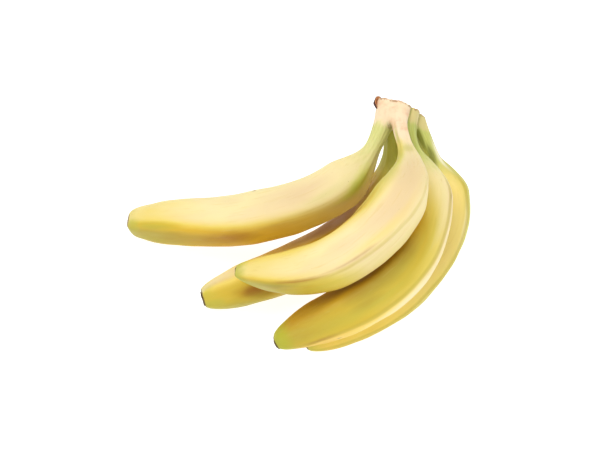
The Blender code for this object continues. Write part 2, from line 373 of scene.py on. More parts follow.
@dataclass(frozen=True)
class Banana:
    """One banana, from its root behind the crown's cut to its blossom end.

    Attributes:
        name: What its pieces are named for.
        route: Points that its line runs through.
        half_width: Half width of the body.
        taper: Length over which the body draws in to the tip.
        fullness: How long the taper stays near the full width; more is longer.
        bluntness: How the tip closes; less is blunter.
        neck: Half width of the neck.
        shoulder: Distances from the root where the neck starts to widen and where it has become the body.
        tip: Half width at the blossom end.
        roll_deg: How far the ridges are turned, at the shoulder, in the middle and at the tip.
        face_tone_light_and_shade: How deep a yellow each face is, at the shoulder, in the middle and near the
            tip, partly the
        skin's own colour and partly painted light and shade: cream on faces turned to the light, ochre on
        faces in shade. 0 is cream, about 1 a deep yellow and 1.6 ochre.
        face_greens: How much green each face has kept at the same places, from 0 to about 1.
        neck_green: How green the neck is.
        tip_green: How green the tip is.
        pale_to: How far below the cut the crown's pale tint is whole, and where it ends.
        ridge_line: How marked the olive line along its main ridge is.
        seed: Seed of its own unevenness.
        marks: Marked places on its skin.
        waist: Middle, reach and share of a place where it is slimmer.
    """

    name: str
    route: tuple[Point, ...]
    half_width: float
    taper: float
    fullness: float
    bluntness: float
    neck: float
    shoulder: tuple[float, float]
    tip: float
    roll_deg: tuple[float, float, float]
    face_tone_light_and_shade: Stations
    face_greens: Stations
    neck_green: float
    tip_green: float
    pale_to: tuple[float, float]
    ridge_line: float
    seed: int
    marks: tuple[Mark, ...] = ()
    waist: tuple[float, float, float] = (0.0, 1.0, 0.0)

    RIDGES = 5
    # How far the faces' directions stray from an even spread
    FACE_STRAY_DEG = 4.0
    # The taper ends this far short of the line's end
    STUB = 1.6
    # Distances from the root between which the ridges come in
    RIDGE_FADE = (8.0, 40.0)
    # Power of the softened pentagon at the neck and in the middle, the share of that gain which the tip
    # loses again, and how long before the end it starts to
    SHARPNESS = (5.0, 6.4)
    TIP_SOFTENING = 0.6
    TIP_SOFT_LENGTH = 40.0
    # Where the three stations lie: before the shoulder's end, at a share of the length, before the end
    SHOULDER_STATION = 10.0
    MIDDLE_STATION = 0.6
    TIP_STATION = 22.0
    # The ridges stop turning this far before the end
    ROLL_END = 15.0
    # Power that keeps each face's number to itself, and the least that a face counts as looking one's way
    FACE_BLEND = 5.0
    LEAST_FACING = 1e-6
    # Swells of the skin: waves round, wavelength along, height. Where they come in from the root, and where
    # they die out before the end
    SWELLS = (
        (1, 110.0, 0.16), (2, 70.0, 0.18), (3, 48.0, 0.14), (1, 33.0, 0.08), (4, 24.0, 0.08), (2, 15.0, 0.04),
    )
    SWELLS_IN = (25.0, 60.0)
    SWELLS_OUT = (12.0, 2.0)
    # What its seed is raised by for these
    SWELLS_SEED = 100
    # Fibres of the neck, likewise. They die out round the shoulder's end
    FIBRES = ((8, 90.0, 0.12), (13, 70.0, 0.10), (19, 55.0, 0.06))
    FIBRES_IN = (14.0, 26.0)
    FIBRES_OUT = (-25.0, 5.0)
    # Half width of the olive line on a ridge, its share on the ridges away from the main one, and the power
    # that parts the main one from them
    RIDGE_LINE_WIDTH = 2.6
    SIDE_RIDGES = 0.2
    MAIN_RIDGE = 3
    # Where the neck's green fades out round the shoulder, and the tip's before the end
    STEM_FADE = (-8.0, 2.0)
    TIP_TINT = (2.0, 26.0)

    def line(self) -> Line:
        """The line that the section is carried along."""
        return Line.through(self.route)

    def girth(self, distances: Floats, length: float) -> Floats:
        """Half width along the banana: a long taper to the tip times a soft step up from the neck.

        The taper is tip + (half_width - tip) * (1 - (1 - u)^fullness)^bluntness, with u the share of the
        taper's length that is left. The step eases from neck / half_width to 1 over the shoulder. A waist
        takes off share * exp(-((distance - its middle) / its reach)^2).

        Args:
            distances: Distances from the root.
            length: The line's length.

        Returns:
            The half width at each distance.
        """
        left = np.clip((length - distances - self.STUB) / self.taper, 0.0, 1.0)
        full = (1.0 - (1.0 - left) ** self.fullness) ** self.bluntness
        body = self.tip + (self.half_width - self.tip) * full
        slim = self.neck / self.half_width
        middle, reach, share = self.waist
        drawn = 1.0 - share * np.exp(-(((distances - middle) / reach) ** 2))
        return body * drawn * (slim + (1.0 - slim) * ease(distances, *self.shoulder))

    def face_angles(self) -> Floats:
        """The directions that the faces look in, each a few degrees off an even spread.

        Returns:
            Five angles from the main ridge.
        """
        random = np.random.default_rng(self.seed)
        stray = random.uniform(-self.FACE_STRAY_DEG, self.FACE_STRAY_DEG, self.RIDGES)
        return np.radians((np.arange(self.RIDGES) + 0.5) * 360.0 / self.RIDGES + stray)

    def on_faces(self, rows: Stations, along: Floats, turned: Floats, length: float) -> Floats:
        """A number that each face has at three stations, blended over the skin.

        Along the banana it is drawn straight from station to station. Round it each face weighs in with
        (cosine of the angle from the face's middle)^blend, divided by the sum of all weights.

        Args:
            rows: The numbers at the shoulder, in the middle and near the tip.
            along: Distances from the root.
            turned: Angles from the main ridge.
            length: The line's length.

        Returns:
            The number at each place.
        """
        first, last = self.shoulder[1] - self.SHOULDER_STATION, length - self.TIP_STATION
        stations = (first, length * self.MIDDLE_STATION, last)
        facing = np.maximum(np.cos(turned[:, None] - self.face_angles()[None, :]), 0.0) ** self.FACE_BLEND
        values = np.stack([np.interp(along, stations, column) for column in zip(*rows)], axis=1)
        return (facing * values).sum(axis=1) / facing.sum(axis=1)

    def roll(self, distances: Floats, length: float) -> Floats:
        """How far the ridges are turned, eased from the shoulder to the middle and on to the tip.

        Args:
            distances: Distances from the root.
            length: The line's length.

        Returns:
            The angle at each distance.
        """
        shoulder, middle, tip = self.roll_deg
        first = ease(distances, self.shoulder[1], length * self.MIDDLE_STATION)
        second = ease(distances, length * self.MIDDLE_STATION, length - self.ROLL_END)
        return np.radians(shoulder + (middle - shoulder) * first + (tip - middle) * second)

    def ridging(self, distances: Floats, angles: Floats, length: float) -> Floats:
        """The section's radius as a share of the half width.

        It is a softened pentagon, (sum of (facing of each side)^p)^(-1/p), scaled so that the mean of its
        largest and smallest radius is 1. p grows up to the middle, so the ridges are keenest there, falls
        again at the tip, and the whole fades to a circle in the neck.

        Args:
            distances: Distances from the root.
            angles: Angles round, from the main ridge; broadcast against the distances.
            length: The line's length.

        Returns:
            The share at each distance and angle.
        """
        low, high = self.SHARPNESS
        power = low + (high - low) * ease(distances, self.shoulder[0], length / 2.0)
        power -= (high - low) * self.TIP_SOFTENING * ease(distances, length - self.TIP_SOFT_LENGTH, length)
        sides = [np.maximum(np.cos(angles - face), self.LEAST_FACING) for face in self.face_angles()]
        facing = sum(side**power for side in sides)
        corner = 2.0 ** (-1.0 / power) / math.cos(math.pi / self.RIDGES)
        shape = 2.0 * facing ** (-1.0 / power) / (1.0 + corner)
        return 1.0 + (shape - 1.0) * ease(distances, *self.RIDGE_FADE)

    def unevenness(self, distances: Floats, angles: Floats, length: float) -> Floats:
        """How far the skin stands out of the plain shape, in millimetres.

        It is a sum of waves, height * sin(waves * angle + 2 pi * distance / wavelength + phase): low swells
        over the body that die out at the ends, and fine fibres along the neck.

        Args:
            distances: Distances from the root.
            angles: Angles round; broadcast against the distances.
            length: The line's length.

        Returns:
            The height at each distance and angle.
        """
        random = np.random.default_rng(self.seed + self.SWELLS_SEED)
        end = self.shoulder[1]
        body = 1.0 - ease(distances, length - self.SWELLS_OUT[0], length - self.SWELLS_OUT[1])
        body *= ease(distances, *self.SWELLS_IN)
        neck = 1.0 - ease(distances, end + self.FIBRES_OUT[0], end + self.FIBRES_OUT[1])
        neck *= ease(distances, *self.FIBRES_IN)
        height = np.zeros(np.broadcast(distances, angles).shape)
        for waves, mask in ((self.SWELLS, body), (self.FIBRES, neck)):
            for around, wavelength, size in waves:
                phase = random.uniform(0.0, 2.0 * math.pi)
                turn = random.choice([-1.0, 1.0]) * 2.0 * math.pi * distances / wavelength
                height = height + mask * size * np.sin(around * angles + turn + phase)
        return height

    def masks(
        self, along: Floats, from_tip: Floats, angles: Floats, radius: Floats, below: Floats
    ) -> dict[str, Floats]:
        """What the peel's finish reads on this banana: a number for each kind of place.

        Tone and green come from the faces; the depth of yellow is partly the skin's own and partly painted
        light and shade, cream on faces turned to the light and ochre on faces in shade. The olive line is
        exp(-(way round to the nearest ridge / its half width)^2), whole on the main ridge. Necks and tips are
        eased along the banana. A mark is depth * exp(-(way along / length)^2 - (way round / width)^2), and
        where marks of one kind meet, the strongest counts.

        Args:
            along: Distances from the root.
            from_tip: Distances from the line's end.
            angles: Angles from the outer side of the bend.
            radius: Distances from the line.
            below: Distances below the cut.

        Returns:
            The masks by name.
        """
        length = self.line().length
        turned = angles - self.roll(along, length)
        pale = 1.0 - ease(below, *self.pale_to)
        masks = {spot.value: np.zeros(len(along)) for spot in Spot}
        # Depth of yellow by face: the skin's own and painted light and shade in one, cream on lit faces,
        # ochre in shade
        masks[Spot.DEEP_AND_SHADE.value] = self.on_faces(self.face_tone_light_and_shade, along, turned, length)
        masks[Spot.GREEN.value] = self.on_faces(self.face_greens, along, turned, length) * (1.0 - pale)
        for mark in self.marks:
            round_way = wrapped(turned - math.radians(mark.angle_deg)) * radius
            spread = ((along - mark.along) / mark.length) ** 2 + (round_way / mark.width) ** 2
            name = mark.spot.value
            masks[name] = np.maximum(masks[name], mark.depth * np.exp(-spread))
        ridges = self.face_angles() + math.pi / self.RIDGES
        round_way = np.abs(wrapped(turned[:, None] - ridges[None, :])).min(axis=1) * radius
        main_ridge = (0.5 + 0.5 * np.cos(turned)) ** self.MAIN_RIDGE
        line = np.exp(-((round_way / self.RIDGE_LINE_WIDTH) ** 2)) * ease(along, *self.shoulder)
        stem = 1.0 - ease(along, self.shoulder[0] + self.STEM_FADE[0], self.shoulder[1] + self.STEM_FADE[1])
        masks["ridge"] = line * self.ridge_line * (self.SIDE_RIDGES + (1.0 - self.SIDE_RIDGES) * main_ridge)
        masks["neck"] = stem * self.neck_green
        masks["fibre"] = stem
        masks["tip"] = self.tip_green * (1.0 - ease(from_tip, *self.TIP_TINT))
        masks["pale"] = pale
        return masks


@dataclass(frozen=True)
class Strand:
    """A line with a half width at each of its points, to measure distances from."""

    points: Floats
    radii: Floats

    def distances(self, places: Floats) -> tuple[Floats, Floats]:
        """How far places are from the line, and from the skin round it.

        Args:
            places: Points, one a row.

        Returns:
            The distance of each to the line, and to the skin.
        """
        apart = np.linalg.norm(places[:, None, :] - self.points[None, :, :], axis=2)
        nearest = apart.argmin(axis=1)
        to_line = apart[np.arange(len(places)), nearest]
        return to_line, to_line - self.radii[nearest]


@dataclass(frozen=True)
class Crown:
    """Where the necks run together, and the cut across it.

    Attributes:
        softness: How far the necks swell into each other.
        fade: Distances from the root up to which they are fused, and past which they are on their own.
        seam: How steeply a neck dips under its neighbour.
        swell_limit: Farthest that the fused skin can lie from a neck's line.
        halvings: How often the search for it halves that.
        strand_step: Spacing of a strand's points.
        strand_length: How far the strands run along the bananas.
        web_length: How far the web between the upper pair reaches.
        web_radius: Its half width.
        cut_point: A point of the cut.
        cut_turn_deg: How far the cut is turned, seen from above.
        cut_lean_deg: How far it leans back.
        cut_half_size: Half the side of the block that is cut away.
        cut_step: Spacing of the points on its rough face.
        block_depth: Its depth.
        tears: Waves that make the face rough, as wavelength and height.
        tear_seed: Seed of their directions and phases.
        wander: How far they stray from straight, as a phase.
        wander_length: Over what length they stray.
        dip: Depth of the dip where the flesh has dried.
        dip_size: Its half width and half height.
    """

    softness: float = 3.2
    fade: tuple[float, float] = (28.0, 42.0)
    seam: float = 1.5
    swell_limit: float = 30.0
    halvings: int = 20
    strand_step: float = 1.0
    strand_length: float = 72.0
    web_length: float = 15.0
    web_radius: float = 4.0
    cut_point: Point = (70.0, 78.2, 72.0)
    cut_turn_deg: float = 16.0
    cut_lean_deg: float = 17.0
    cut_half_size: float = 34.0
    cut_step: float = 0.5
    block_depth: float = 40.0
    tears: tuple[tuple[float, float], ...] = (
        (17.0, 0.22), (9.0, 0.20), (6.0, 0.14), (4.2, 0.13), (3.1, 0.10), (2.3, 0.08), (1.7, 0.06),
    )
    tear_seed: int = 41
    wander: float = 0.6
    wander_length: float = 7.0
    dip: float = 0.25
    dip_size: tuple[float, float] = (14.0, 6.0)

    def strands(self, bananas: tuple[Banana, ...]) -> tuple[list[Strand], list[Strand]]:
        """The necks' lines, and the web of flesh that fills the groove between the two upper necks.

        Args:
            bananas: All bananas.

        Returns:
            One strand for each neck, and the strands of the webs.
        """
        at = np.arange(0.0, self.strand_length, self.strand_step)
        necks = []
        for banana in bananas:
            line = banana.line()
            necks.append(Strand(line.at(at), banana.girth(at, line.length)))
        count = int(self.web_length / self.strand_step)
        halfway = sum(necks[number].points[:count] for number in UPPER_PAIR) / 2.0
        return necks, [Strand(halfway, np.full(count, self.web_radius))]

    def reach(
        self, necks: list[Strand], webs: list[Strand], own: int, centres: Floats, directions: Floats
    ) -> Floats:
        """How far the fused skin lies from a neck's line, along each direction.

        The fused skin is where the sum of exp(-distance to skin / softness) over all strands is 1. Past
        halfway to the next neck it is drawn inwards, so that each neck dips under its neighbour. Halving
        the interval finds where the ray leaves it.

        Args:
            necks: The necks' strands.
            webs: Further strands that only swell the skin.
            own: Which neck the rays start from.
            centres: Where the rays start.
            directions: Where they point.

        Returns:
            The reach of each ray.
        """
        low = np.zeros(len(centres))
        high = np.full(len(centres), self.swell_limit)
        for _ in range(self.halvings):
            reach = (low + high) / 2.0
            places = centres + reach[:, None] * directions
            measured = [strand.distances(places) for strand in necks + webs]
            blend = sum(np.exp(-to_skin / self.softness) for _, to_skin in measured)
            others = [measured[index][0] for index in range(len(necks)) if index != own]
            outside = -self.softness * np.log(blend)
            outside += self.seam * np.maximum(measured[own][0] - np.min(others, axis=0), 0.0)
            low = np.where(outside < 0.0, reach, low)
            high = np.where(outside < 0.0, high, reach)
        return (low + high) / 2.0

    def cut_axes(self) -> tuple[Floats, Floats, Floats]:
        """The cut's own axes.

        Returns:
            Its normal, which points out of the fruit, and the directions across it and up it.
        """
        turn, lean = math.radians(self.cut_turn_deg), math.radians(self.cut_lean_deg)
        normal = np.array([math.sin(turn) * math.cos(lean), math.cos(turn) * math.cos(lean), math.sin(lean)])
        across = np.array([math.cos(turn), -math.sin(turn), 0.0])
        return normal, across, np.cross(normal, across)

    def cut_height(self, across: Floats, up: Floats) -> Floats:
        """How far the cut face stands out of its plane: the tears and ridges that a knife leaves.

        It is a sum of waves, height * sin(2 pi * way along the wave / wavelength + wander + phase), long ones
        first, less dip * exp(-(across / dip's half width)^2 - (up / its half height)^2).

        Args:
            across: Place across the cut.
            up: Place up the cut.

        Returns:
            The height at each place.
        """
        random = np.random.default_rng(self.tear_seed)
        width, depth = self.dip_size
        height = -self.dip * np.exp(-((across / width) ** 2) - (up / depth) ** 2)
        for wavelength, size in self.tears:
            direction = random.uniform(0.0, math.pi)
            phase = random.uniform(0.0, 2.0 * math.pi, 2)
            way = across * math.cos(direction) + up * math.sin(direction)
            wander = np.sin(across / self.wander_length + phase[1]) * self.wander
            height = height + size * np.sin(2.0 * math.pi * way / wavelength + wander + phase[0])
        return height

    def cutter(self) -> bpy.types.Object:
        """The block that is cut away: a rough face towards the fruit, carried back along the cut's normal.

        Returns:
            The closed block.
        """
        normal, across, up = self.cut_axes()
        at = np.arange(-self.cut_half_size, self.cut_half_size + self.cut_step, self.cut_step)
        count = len(at)
        first, second = np.meshgrid(at, at, indexing="ij")
        face = first[..., None] * across + second[..., None] * up
        face += self.cut_height(first, second)[..., None] * normal
        front = np.array(self.cut_point) + face.reshape(-1, 3)
        back = front + self.block_depth * normal
        i, j = np.meshgrid(np.arange(count - 1), np.arange(count - 1), indexing="ij")
        corner = (i * count + j).reshape(-1, 1)
        quads = corner + np.array([[0, 1, count + 1, count]])
        edge = np.arange(count - 1)
        rim = np.concatenate([
            np.stack([edge, edge + 1], axis=1),
            np.stack([edge * count + count - 1, (edge + 1) * count + count - 1], axis=1),
            np.stack([(count - 1) * count + edge + 1, (count - 1) * count + edge], axis=1),
            np.stack([(edge + 1) * count, edge * count], axis=1),
        ])
        behind = count * count
        walls = np.concatenate([rim, rim[:, ::-1] + behind], axis=1)
        blocks = [quads, quads[:, ::-1] + behind, walls]
        return mesh_object("crown_cutter", np.concatenate([front, back]), blocks)

    def below_cut(self, points: Floats) -> Floats:
        """How far points lie below the rough cut face, measured along the cut's normal.

        Args:
            points: Points in the routes' millimetres.

        Returns:
            The distance of each.
        """
        normal, across, up = self.cut_axes()
        offset = points - np.array(self.cut_point)
        return self.cut_height(offset @ across, offset @ up) - offset @ normal


@dataclass(frozen=True)
class Growth:
    """Where each point of the skin lies on the fruit.

    own is the banana's number, along and from_tip are distances on its line, angle is measured from the
    outer side of its bend, radius from its line. other is the next nearest banana, and rival is how much
    farther its line is.
    """

    own: NDArray[np.int64]
    other: NDArray[np.int64]
    along: Floats
    from_tip: Floats
    angle: Floats
    radius: Floats
    rival: Floats

    @classmethod
    def of(
        cls, points: Floats, bananas: tuple[Banana, ...], spacing: float = 1.5, batch: int = 8000
    ) -> "Growth":
        """Finds the nearest banana of each point by its skin, then its place on that banana's line.

        Args:
            points: Points of the skin.
            bananas: All bananas.
            spacing: Distance between the places that are tried on each line.
            batch: How many points are measured at a time.

        Returns:
            The places.
        """
        lines = [banana.line() for banana in bananas]
        tried = [np.arange(0.0, line.length, spacing) for line in lines]
        centres = [line.at(at) for line, at in zip(lines, tried)]
        halves = [banana.girth(at, line.length) for banana, line, at in zip(bananas, lines, tried)]
        nearest = np.empty((len(points), len(bananas)), int)
        to_line = np.empty((len(points), len(bananas)))
        to_skin = np.empty((len(points), len(bananas)))
        for start in range(0, len(points), batch):
            part = slice(start, start + batch)
            for number, centre in enumerate(centres):
                squared = (points[part] ** 2).sum(axis=1)[:, None] - 2.0 * points[part] @ centre.T
                squared += (centre**2).sum(axis=1)
                index = squared.argmin(axis=1)
                nearest[part, number] = index
                to_line[part, number] = np.sqrt(np.maximum(squared[np.arange(len(index)), index], 0.0))
                to_skin[part, number] = to_line[part, number] - halves[number][index]
        own = to_skin.argmin(axis=1)
        rows = np.arange(len(points))
        others = to_line.copy()
        others[rows, own] = np.inf
        other = others.argmin(axis=1)
        rival = others[rows, other] - to_line[rows, own]
        along, from_tip, angle, radius = (np.empty(len(points)) for _ in range(4))
        for number, line in enumerate(lines):
            mine = own == number
            at = tried[number][nearest[mine, number]]
            tangent, _, _ = line.frames(at)
            at = np.clip(at + ((points[mine] - line.at(at)) * tangent).sum(axis=1), 0.0, line.length)
            _, outward, sideways = line.frames(at)
            offset = points[mine] - line.at(at)
            along[mine] = at
            from_tip[mine] = line.length - at
            angle[mine] = np.arctan2((offset * sideways).sum(axis=1), (offset * outward).sum(axis=1))
            radius[mine] = np.linalg.norm(offset, axis=1)
        return cls(own, other, along, from_tip, angle, radius, rival)


# Finishes: what each surface looks like


class Follows(Enum):
    """What the grain of a pattern follows: the banana's growth, or its place in the object."""

    GROWTH = "growth"
    PLACE = "place"


@dataclass(frozen=True)
class Coat:
    """A layer of colour over those below it.

    It comes in where its mask, made ragged by a noise, passes from low to high, up to its strength. Without a
    mask the noise alone decides. Grain is the noise's size in millimetres, along the growth and across it.
    """

    colour: str
    low: float
    high: float
    mask: str = ""
    strength: float = 1.0
    ragged: float = 0.4
    grain: tuple[float, float] = (12.0, 12.0)
    follows: Follows = Follows.GROWTH


@dataclass(frozen=True)
class Relief:
    """Bumps of a noise: their height and their size in millimetres, along the growth and across it.

    A mask says where they are.
    """

    height: float
    grain: tuple[float, float]
    mask: str = ""
    follows: Follows = Follows.GROWTH


def add_node(
    tree: bpy.types.NodeTree, kind: str, settings: dict[str, object], sockets: Sockets
) -> bpy.types.Node:
    """Adds one node.

    Args:
        tree: The material's tree.
        kind: The node's type, without the common start of its name.
        settings: Its own properties.
        sockets: What goes into its inputs, by name or number: an output socket, or a plain value.

    Returns:
        The node.
    """
    node = tree.nodes.new("ShaderNode" + kind)
    for name, value in settings.items():
        setattr(node, name, value)
    for name, value in sockets.items():
        if isinstance(value, bpy.types.NodeSocket):
            tree.links.new(value, node.inputs[name])
        else:
            node.inputs[name].default_value = value
    return node


@dataclass(frozen=True)
class Finish:
    """A surface: a ground colour, coats of colour over it, reliefs and how it shines.

    Attributes:
        name: The material's name.
        ground: Its lowest colour.
        coats: Layers of colour, the lowest first.
        reliefs: Bumps, the coarsest first.
        roughness: Least and greatest roughness.
        roughness_grain: Size of the patches that differ in it, along the growth and across it.
        follows: What those patches follow.
        ior: Index of refraction.
        specular: Level of the clear reflection.
        subsurface: Share of the light that enters the surface.
        subsurface_reach: How far red, green and blue light travel in it, in millimetres.
    """

    name: str
    ground: str
    coats: tuple[Coat, ...]
    reliefs: tuple[Relief, ...]
    roughness: tuple[float, float]
    roughness_grain: tuple[float, float]
    follows: Follows
    ior: float = 1.45
    specular: float = 0.5
    subsurface: float = 0.0
    subsurface_reach: tuple[float, float, float] = (2.2, 1.2, 0.4)

    # The colour sockets of a Mix node, by number
    MIX_A = 6
    MIX_B = 7
    MIX_RESULT = 2
    # Finer layers in the noise of a coat, and of a relief or the shine; how rough they are, and the range
    # that most of a noise lies in
    COAT_DETAIL = 3.0
    RELIEF_DETAIL = 2.0
    NOISE_ROUGHNESS = 0.55
    NOISE_RANGE = (0.3, 0.7)

    def grain(
        self, tree: bpy.types.NodeTree, follows: Follows, size: tuple[float, float], detail: float
    ) -> bpy.types.NodeSocket:
        """A noise whose cells have this size in millimetres, along the growth and across it.

        Args:
            tree: The material's tree.
            follows: What it follows: the growth, or the place in the object.
            size: The cells' size along and across.
            detail: How many finer layers it has.

        Returns:
            Its value, about 0.5 in the mean.
        """
        if follows is Follows.GROWTH:
            place = add_node(tree, "Attribute", {"attribute_name": "growth"}, {}).outputs["Vector"]
        else:
            place = add_node(tree, "TexCoord", {}, {}).outputs["Object"]
        cells = (1.0 / (size[0] * MM), 1.0 / (size[1] * MM), 1.0 / (size[1] * MM))
        scaled = add_node(tree, "VectorMath", {"operation": "MULTIPLY"}, {0: place, 1: cells})
        layers = {"Scale": 1.0, "Detail": detail, "Roughness": self.NOISE_ROUGHNESS}
        return add_node(tree, "TexNoise", {}, {"Vector": scaled.outputs[0], **layers}).outputs[0]

    def coverage(self, tree: bpy.types.NodeTree, coat: Coat) -> bpy.types.NodeSocket:
        """How much of a coat shows: a smooth step of mask + ragged * (noise - 0.5), times its strength.

        Args:
            tree: The material's tree.
            coat: The coat.

        Returns:
            The share that shows, from 0 to 1.
        """
        shown = self.grain(tree, coat.follows, coat.grain, self.COAT_DETAIL)
        if coat.mask:
            mask = add_node(tree, "Attribute", {"attribute_name": coat.mask}, {}).outputs["Fac"]
            centred = add_node(tree, "Math", {"operation": "SUBTRACT"}, {0: shown, 1: 0.5}).outputs[0]
            ragged = {0: centred, 1: coat.ragged, 2: mask}
            shown = add_node(tree, "Math", {"operation": "MULTIPLY_ADD"}, ragged).outputs[0]
        span = {"Value": shown, "From Min": coat.low, "From Max": coat.high}
        span |= {"To Min": 0.0, "To Max": coat.strength}
        return add_node(tree, "MapRange", {"interpolation_type": "SMOOTHSTEP"}, span).outputs[0]

    def material(self) -> bpy.types.Material:
        """Builds the material: ground, coats in order, reliefs chained one over another, and the shader.

        Returns:
            The material.
        """
        material = bpy.data.materials.new(self.name)
        material.use_nodes = True
        tree = material.node_tree
        tree.nodes.clear()
        colour: object = linear(self.ground)
        for coat in self.coats:
            layers = {0: self.coverage(tree, coat), self.MIX_A: colour, self.MIX_B: linear(coat.colour)}
            colour = add_node(tree, "Mix", {"data_type": "RGBA"}, layers).outputs[self.MIX_RESULT]
        normal = None
        for relief in self.reliefs:
            height = self.grain(tree, relief.follows, relief.grain, self.RELIEF_DETAIL)
            sockets: Sockets = {"Height": height, "Distance": relief.height * MM, "Strength": 1.0}
            if relief.mask:
                mask = add_node(tree, "Attribute", {"attribute_name": relief.mask}, {})
                sockets["Strength"] = mask.outputs["Fac"]
            if normal is not None:
                sockets["Normal"] = normal
            normal = add_node(tree, "Bump", {}, sockets).outputs[0]
        span = {
            "Value": self.grain(tree, self.follows, self.roughness_grain, self.RELIEF_DETAIL),
            "From Min": self.NOISE_RANGE[0],
            "From Max": self.NOISE_RANGE[1],
            "To Min": self.roughness[0],
            "To Max": self.roughness[1],
        }
        sockets = {
            "Base Color": colour,
            "Roughness": add_node(tree, "MapRange", {}, span).outputs[0],
            "IOR": self.ior,
            "Specular IOR Level": self.specular,
            "Subsurface Weight": self.subsurface,
            "Subsurface Radius": self.subsurface_reach,
            "Subsurface Scale": MM,
        }
        if normal is not None:
            sockets["Normal"] = normal
        shader = add_node(tree, "BsdfPrincipled", {}, sockets)
        add_node(tree, "OutputMaterial", {}, {"Surface": shader.outputs[0]})
        return material


# Ripe banana peel, waxy and smooth: pale cream, straw, deep yellow and ochre from face to face, partly its
# own colour and partly painted light and shade, cream on faces turned to the light and ochre on faces in
# shade; green left in the necks, at the tips and along some ridges, and fine streaks along it. Its pores and
# specks are about a third of a millimetre and are drawn three times as coarse, so that they show
RIPE_PEEL = Finish(
    name="ripe_banana_peel",
    ground="#E8D8A0",
    coats=(
        # The yellow: tan clouds and a pinkish blush, then straw, deep yellow and ochre, partly the skin's own
        # colour and partly painted light and shade
        Coat("#E6CEA0", 0.48, 0.66, strength=0.6, grain=(55.0, 18.0)),
        Coat("#D8BC92", 0.15, 0.95, mask="blush", strength=0.8, ragged=0.35, grain=(30.0, 9.0)),
        Coat("#E4CA5E", 0.10, 0.60, mask="tone_light_and_shade", ragged=0.35, grain=(60.0, 16.0)),
        Coat("#D8AE2C", 0.45, 0.95, mask="tone_light_and_shade", ragged=0.35, grain=(50.0, 12.0)),
        Coat("#A67A18", 0.95, 1.60, mask="tone_light_and_shade", strength=0.9, ragged=0.35, grain=(30.0, 8.0)),
        # Fine streaks along it, dark and pale
        Coat("#C9A848", 0.55, 0.75, strength=0.2, grain=(22.0, 1.6)),
        Coat("#DECB8C", 0.60, 0.75, strength=0.15, grain=(16.0, 1.1)),
        # Necks with their darker fibres, and the crown, pale and flecked above and straw at its side
        Coat("#BCC468", 0.10, 0.85, mask="neck", strength=0.9, ragged=0.35, grain=(24.0, 3.0)),
        Coat("#8C9636", 0.55, 1.05, mask="neck", strength=0.4, ragged=1.2, grain=(30.0, 1.3)),
        Coat("#ECD4B0", 0.25, 0.80, mask="crown", ragged=0.6, grain=(12.0, 2.0)),
        Coat(
            "#E0A070", 0.85, 1.40, mask="crown", strength=0.55, ragged=1.6, grain=(7.0, 7.0),
            follows=Follows.PLACE,
        ),
        Coat("#D2C284", 0.35, 0.85, mask="crown_side", strength=0.9, ragged=0.9, grain=(18.0, 1.2)),
        # Greens that have stayed, painted highlights, dark green painted shade, olive lines on the ridges,
        # and a soft brown that is partly bruises and partly painted shade
        Coat("#B6B044", 0.15, 0.95, mask="green", strength=0.8, ragged=0.4, grain=(40.0, 7.0)),
        Coat("#D2DA58", 0.15, 0.95, mask="fresh", strength=0.9, ragged=0.4, grain=(16.0, 4.0)),
        Coat("#F4EED2", 0.15, 0.95, mask="painted_highlight", strength=0.85, ragged=0.3, grain=(30.0, 5.0)),
        # Dull dark green, all painted shade: in the necks' hollows, in the notch under the crown and on a
        # lower side near a tip
        Coat("#6E7026", 0.15, 0.95, mask="olive", strength=0.75, ragged=0.3, grain=(16.0, 3.0)),
        Coat("#B8A436", 0.35, 0.95, mask="ridge", strength=0.6, ragged=0.5, grain=(30.0, 8.0)),
        # Soft brown: the skin's bruises, and painted shade where one banana shades another
        Coat("#945410", 0.15, 0.95, mask="bruise_and_shade", strength=0.7, ragged=0.4, grain=(14.0, 5.0)),
        # Olive in the grooves between the necks, their green with painted shade, the cut's brown rim, green
        # tips and the scab at their ends
        Coat("#8F8C38", 0.10, 0.90, mask="crease_green_and_shade", strength=0.85, ragged=0.3, grain=(10.0, 2.0)),
        Coat(
            "#98693C", 0.60, 1.05, mask="rim", strength=0.7, ragged=1.6, grain=(2.4, 2.4),
            follows=Follows.PLACE,
        ),
        Coat("#AEAE2E", 0.20, 0.95, mask="tip", strength=0.9, ragged=0.4, grain=(9.0, 3.0)),
        Coat("#5F4424", 0.55, 0.85, mask="scab", strength=0.8, ragged=0.5, grain=(2.0, 2.0)),
        # Dry scuffs, and small brown specks here and there
        Coat("#7A5530", 0.35, 0.75, mask="rub", strength=0.8, ragged=0.6, grain=(5.0, 1.2)),
        Coat("#7C5C30", 0.742, 0.775, strength=0.7, grain=(1.6, 1.3)),
    ),
    reliefs=(
        Relief(0.10, (30.0, 5.0)),
        Relief(0.05, (20.0, 1.0), mask="fibre"),
        Relief(0.018, (1.1, 0.9)),
    ),
    roughness=(0.42, 0.60),
    roughness_grain=(18.0, 4.0),
    follows=Follows.GROWTH,
    specular=0.32,
    subsurface=0.06,
)

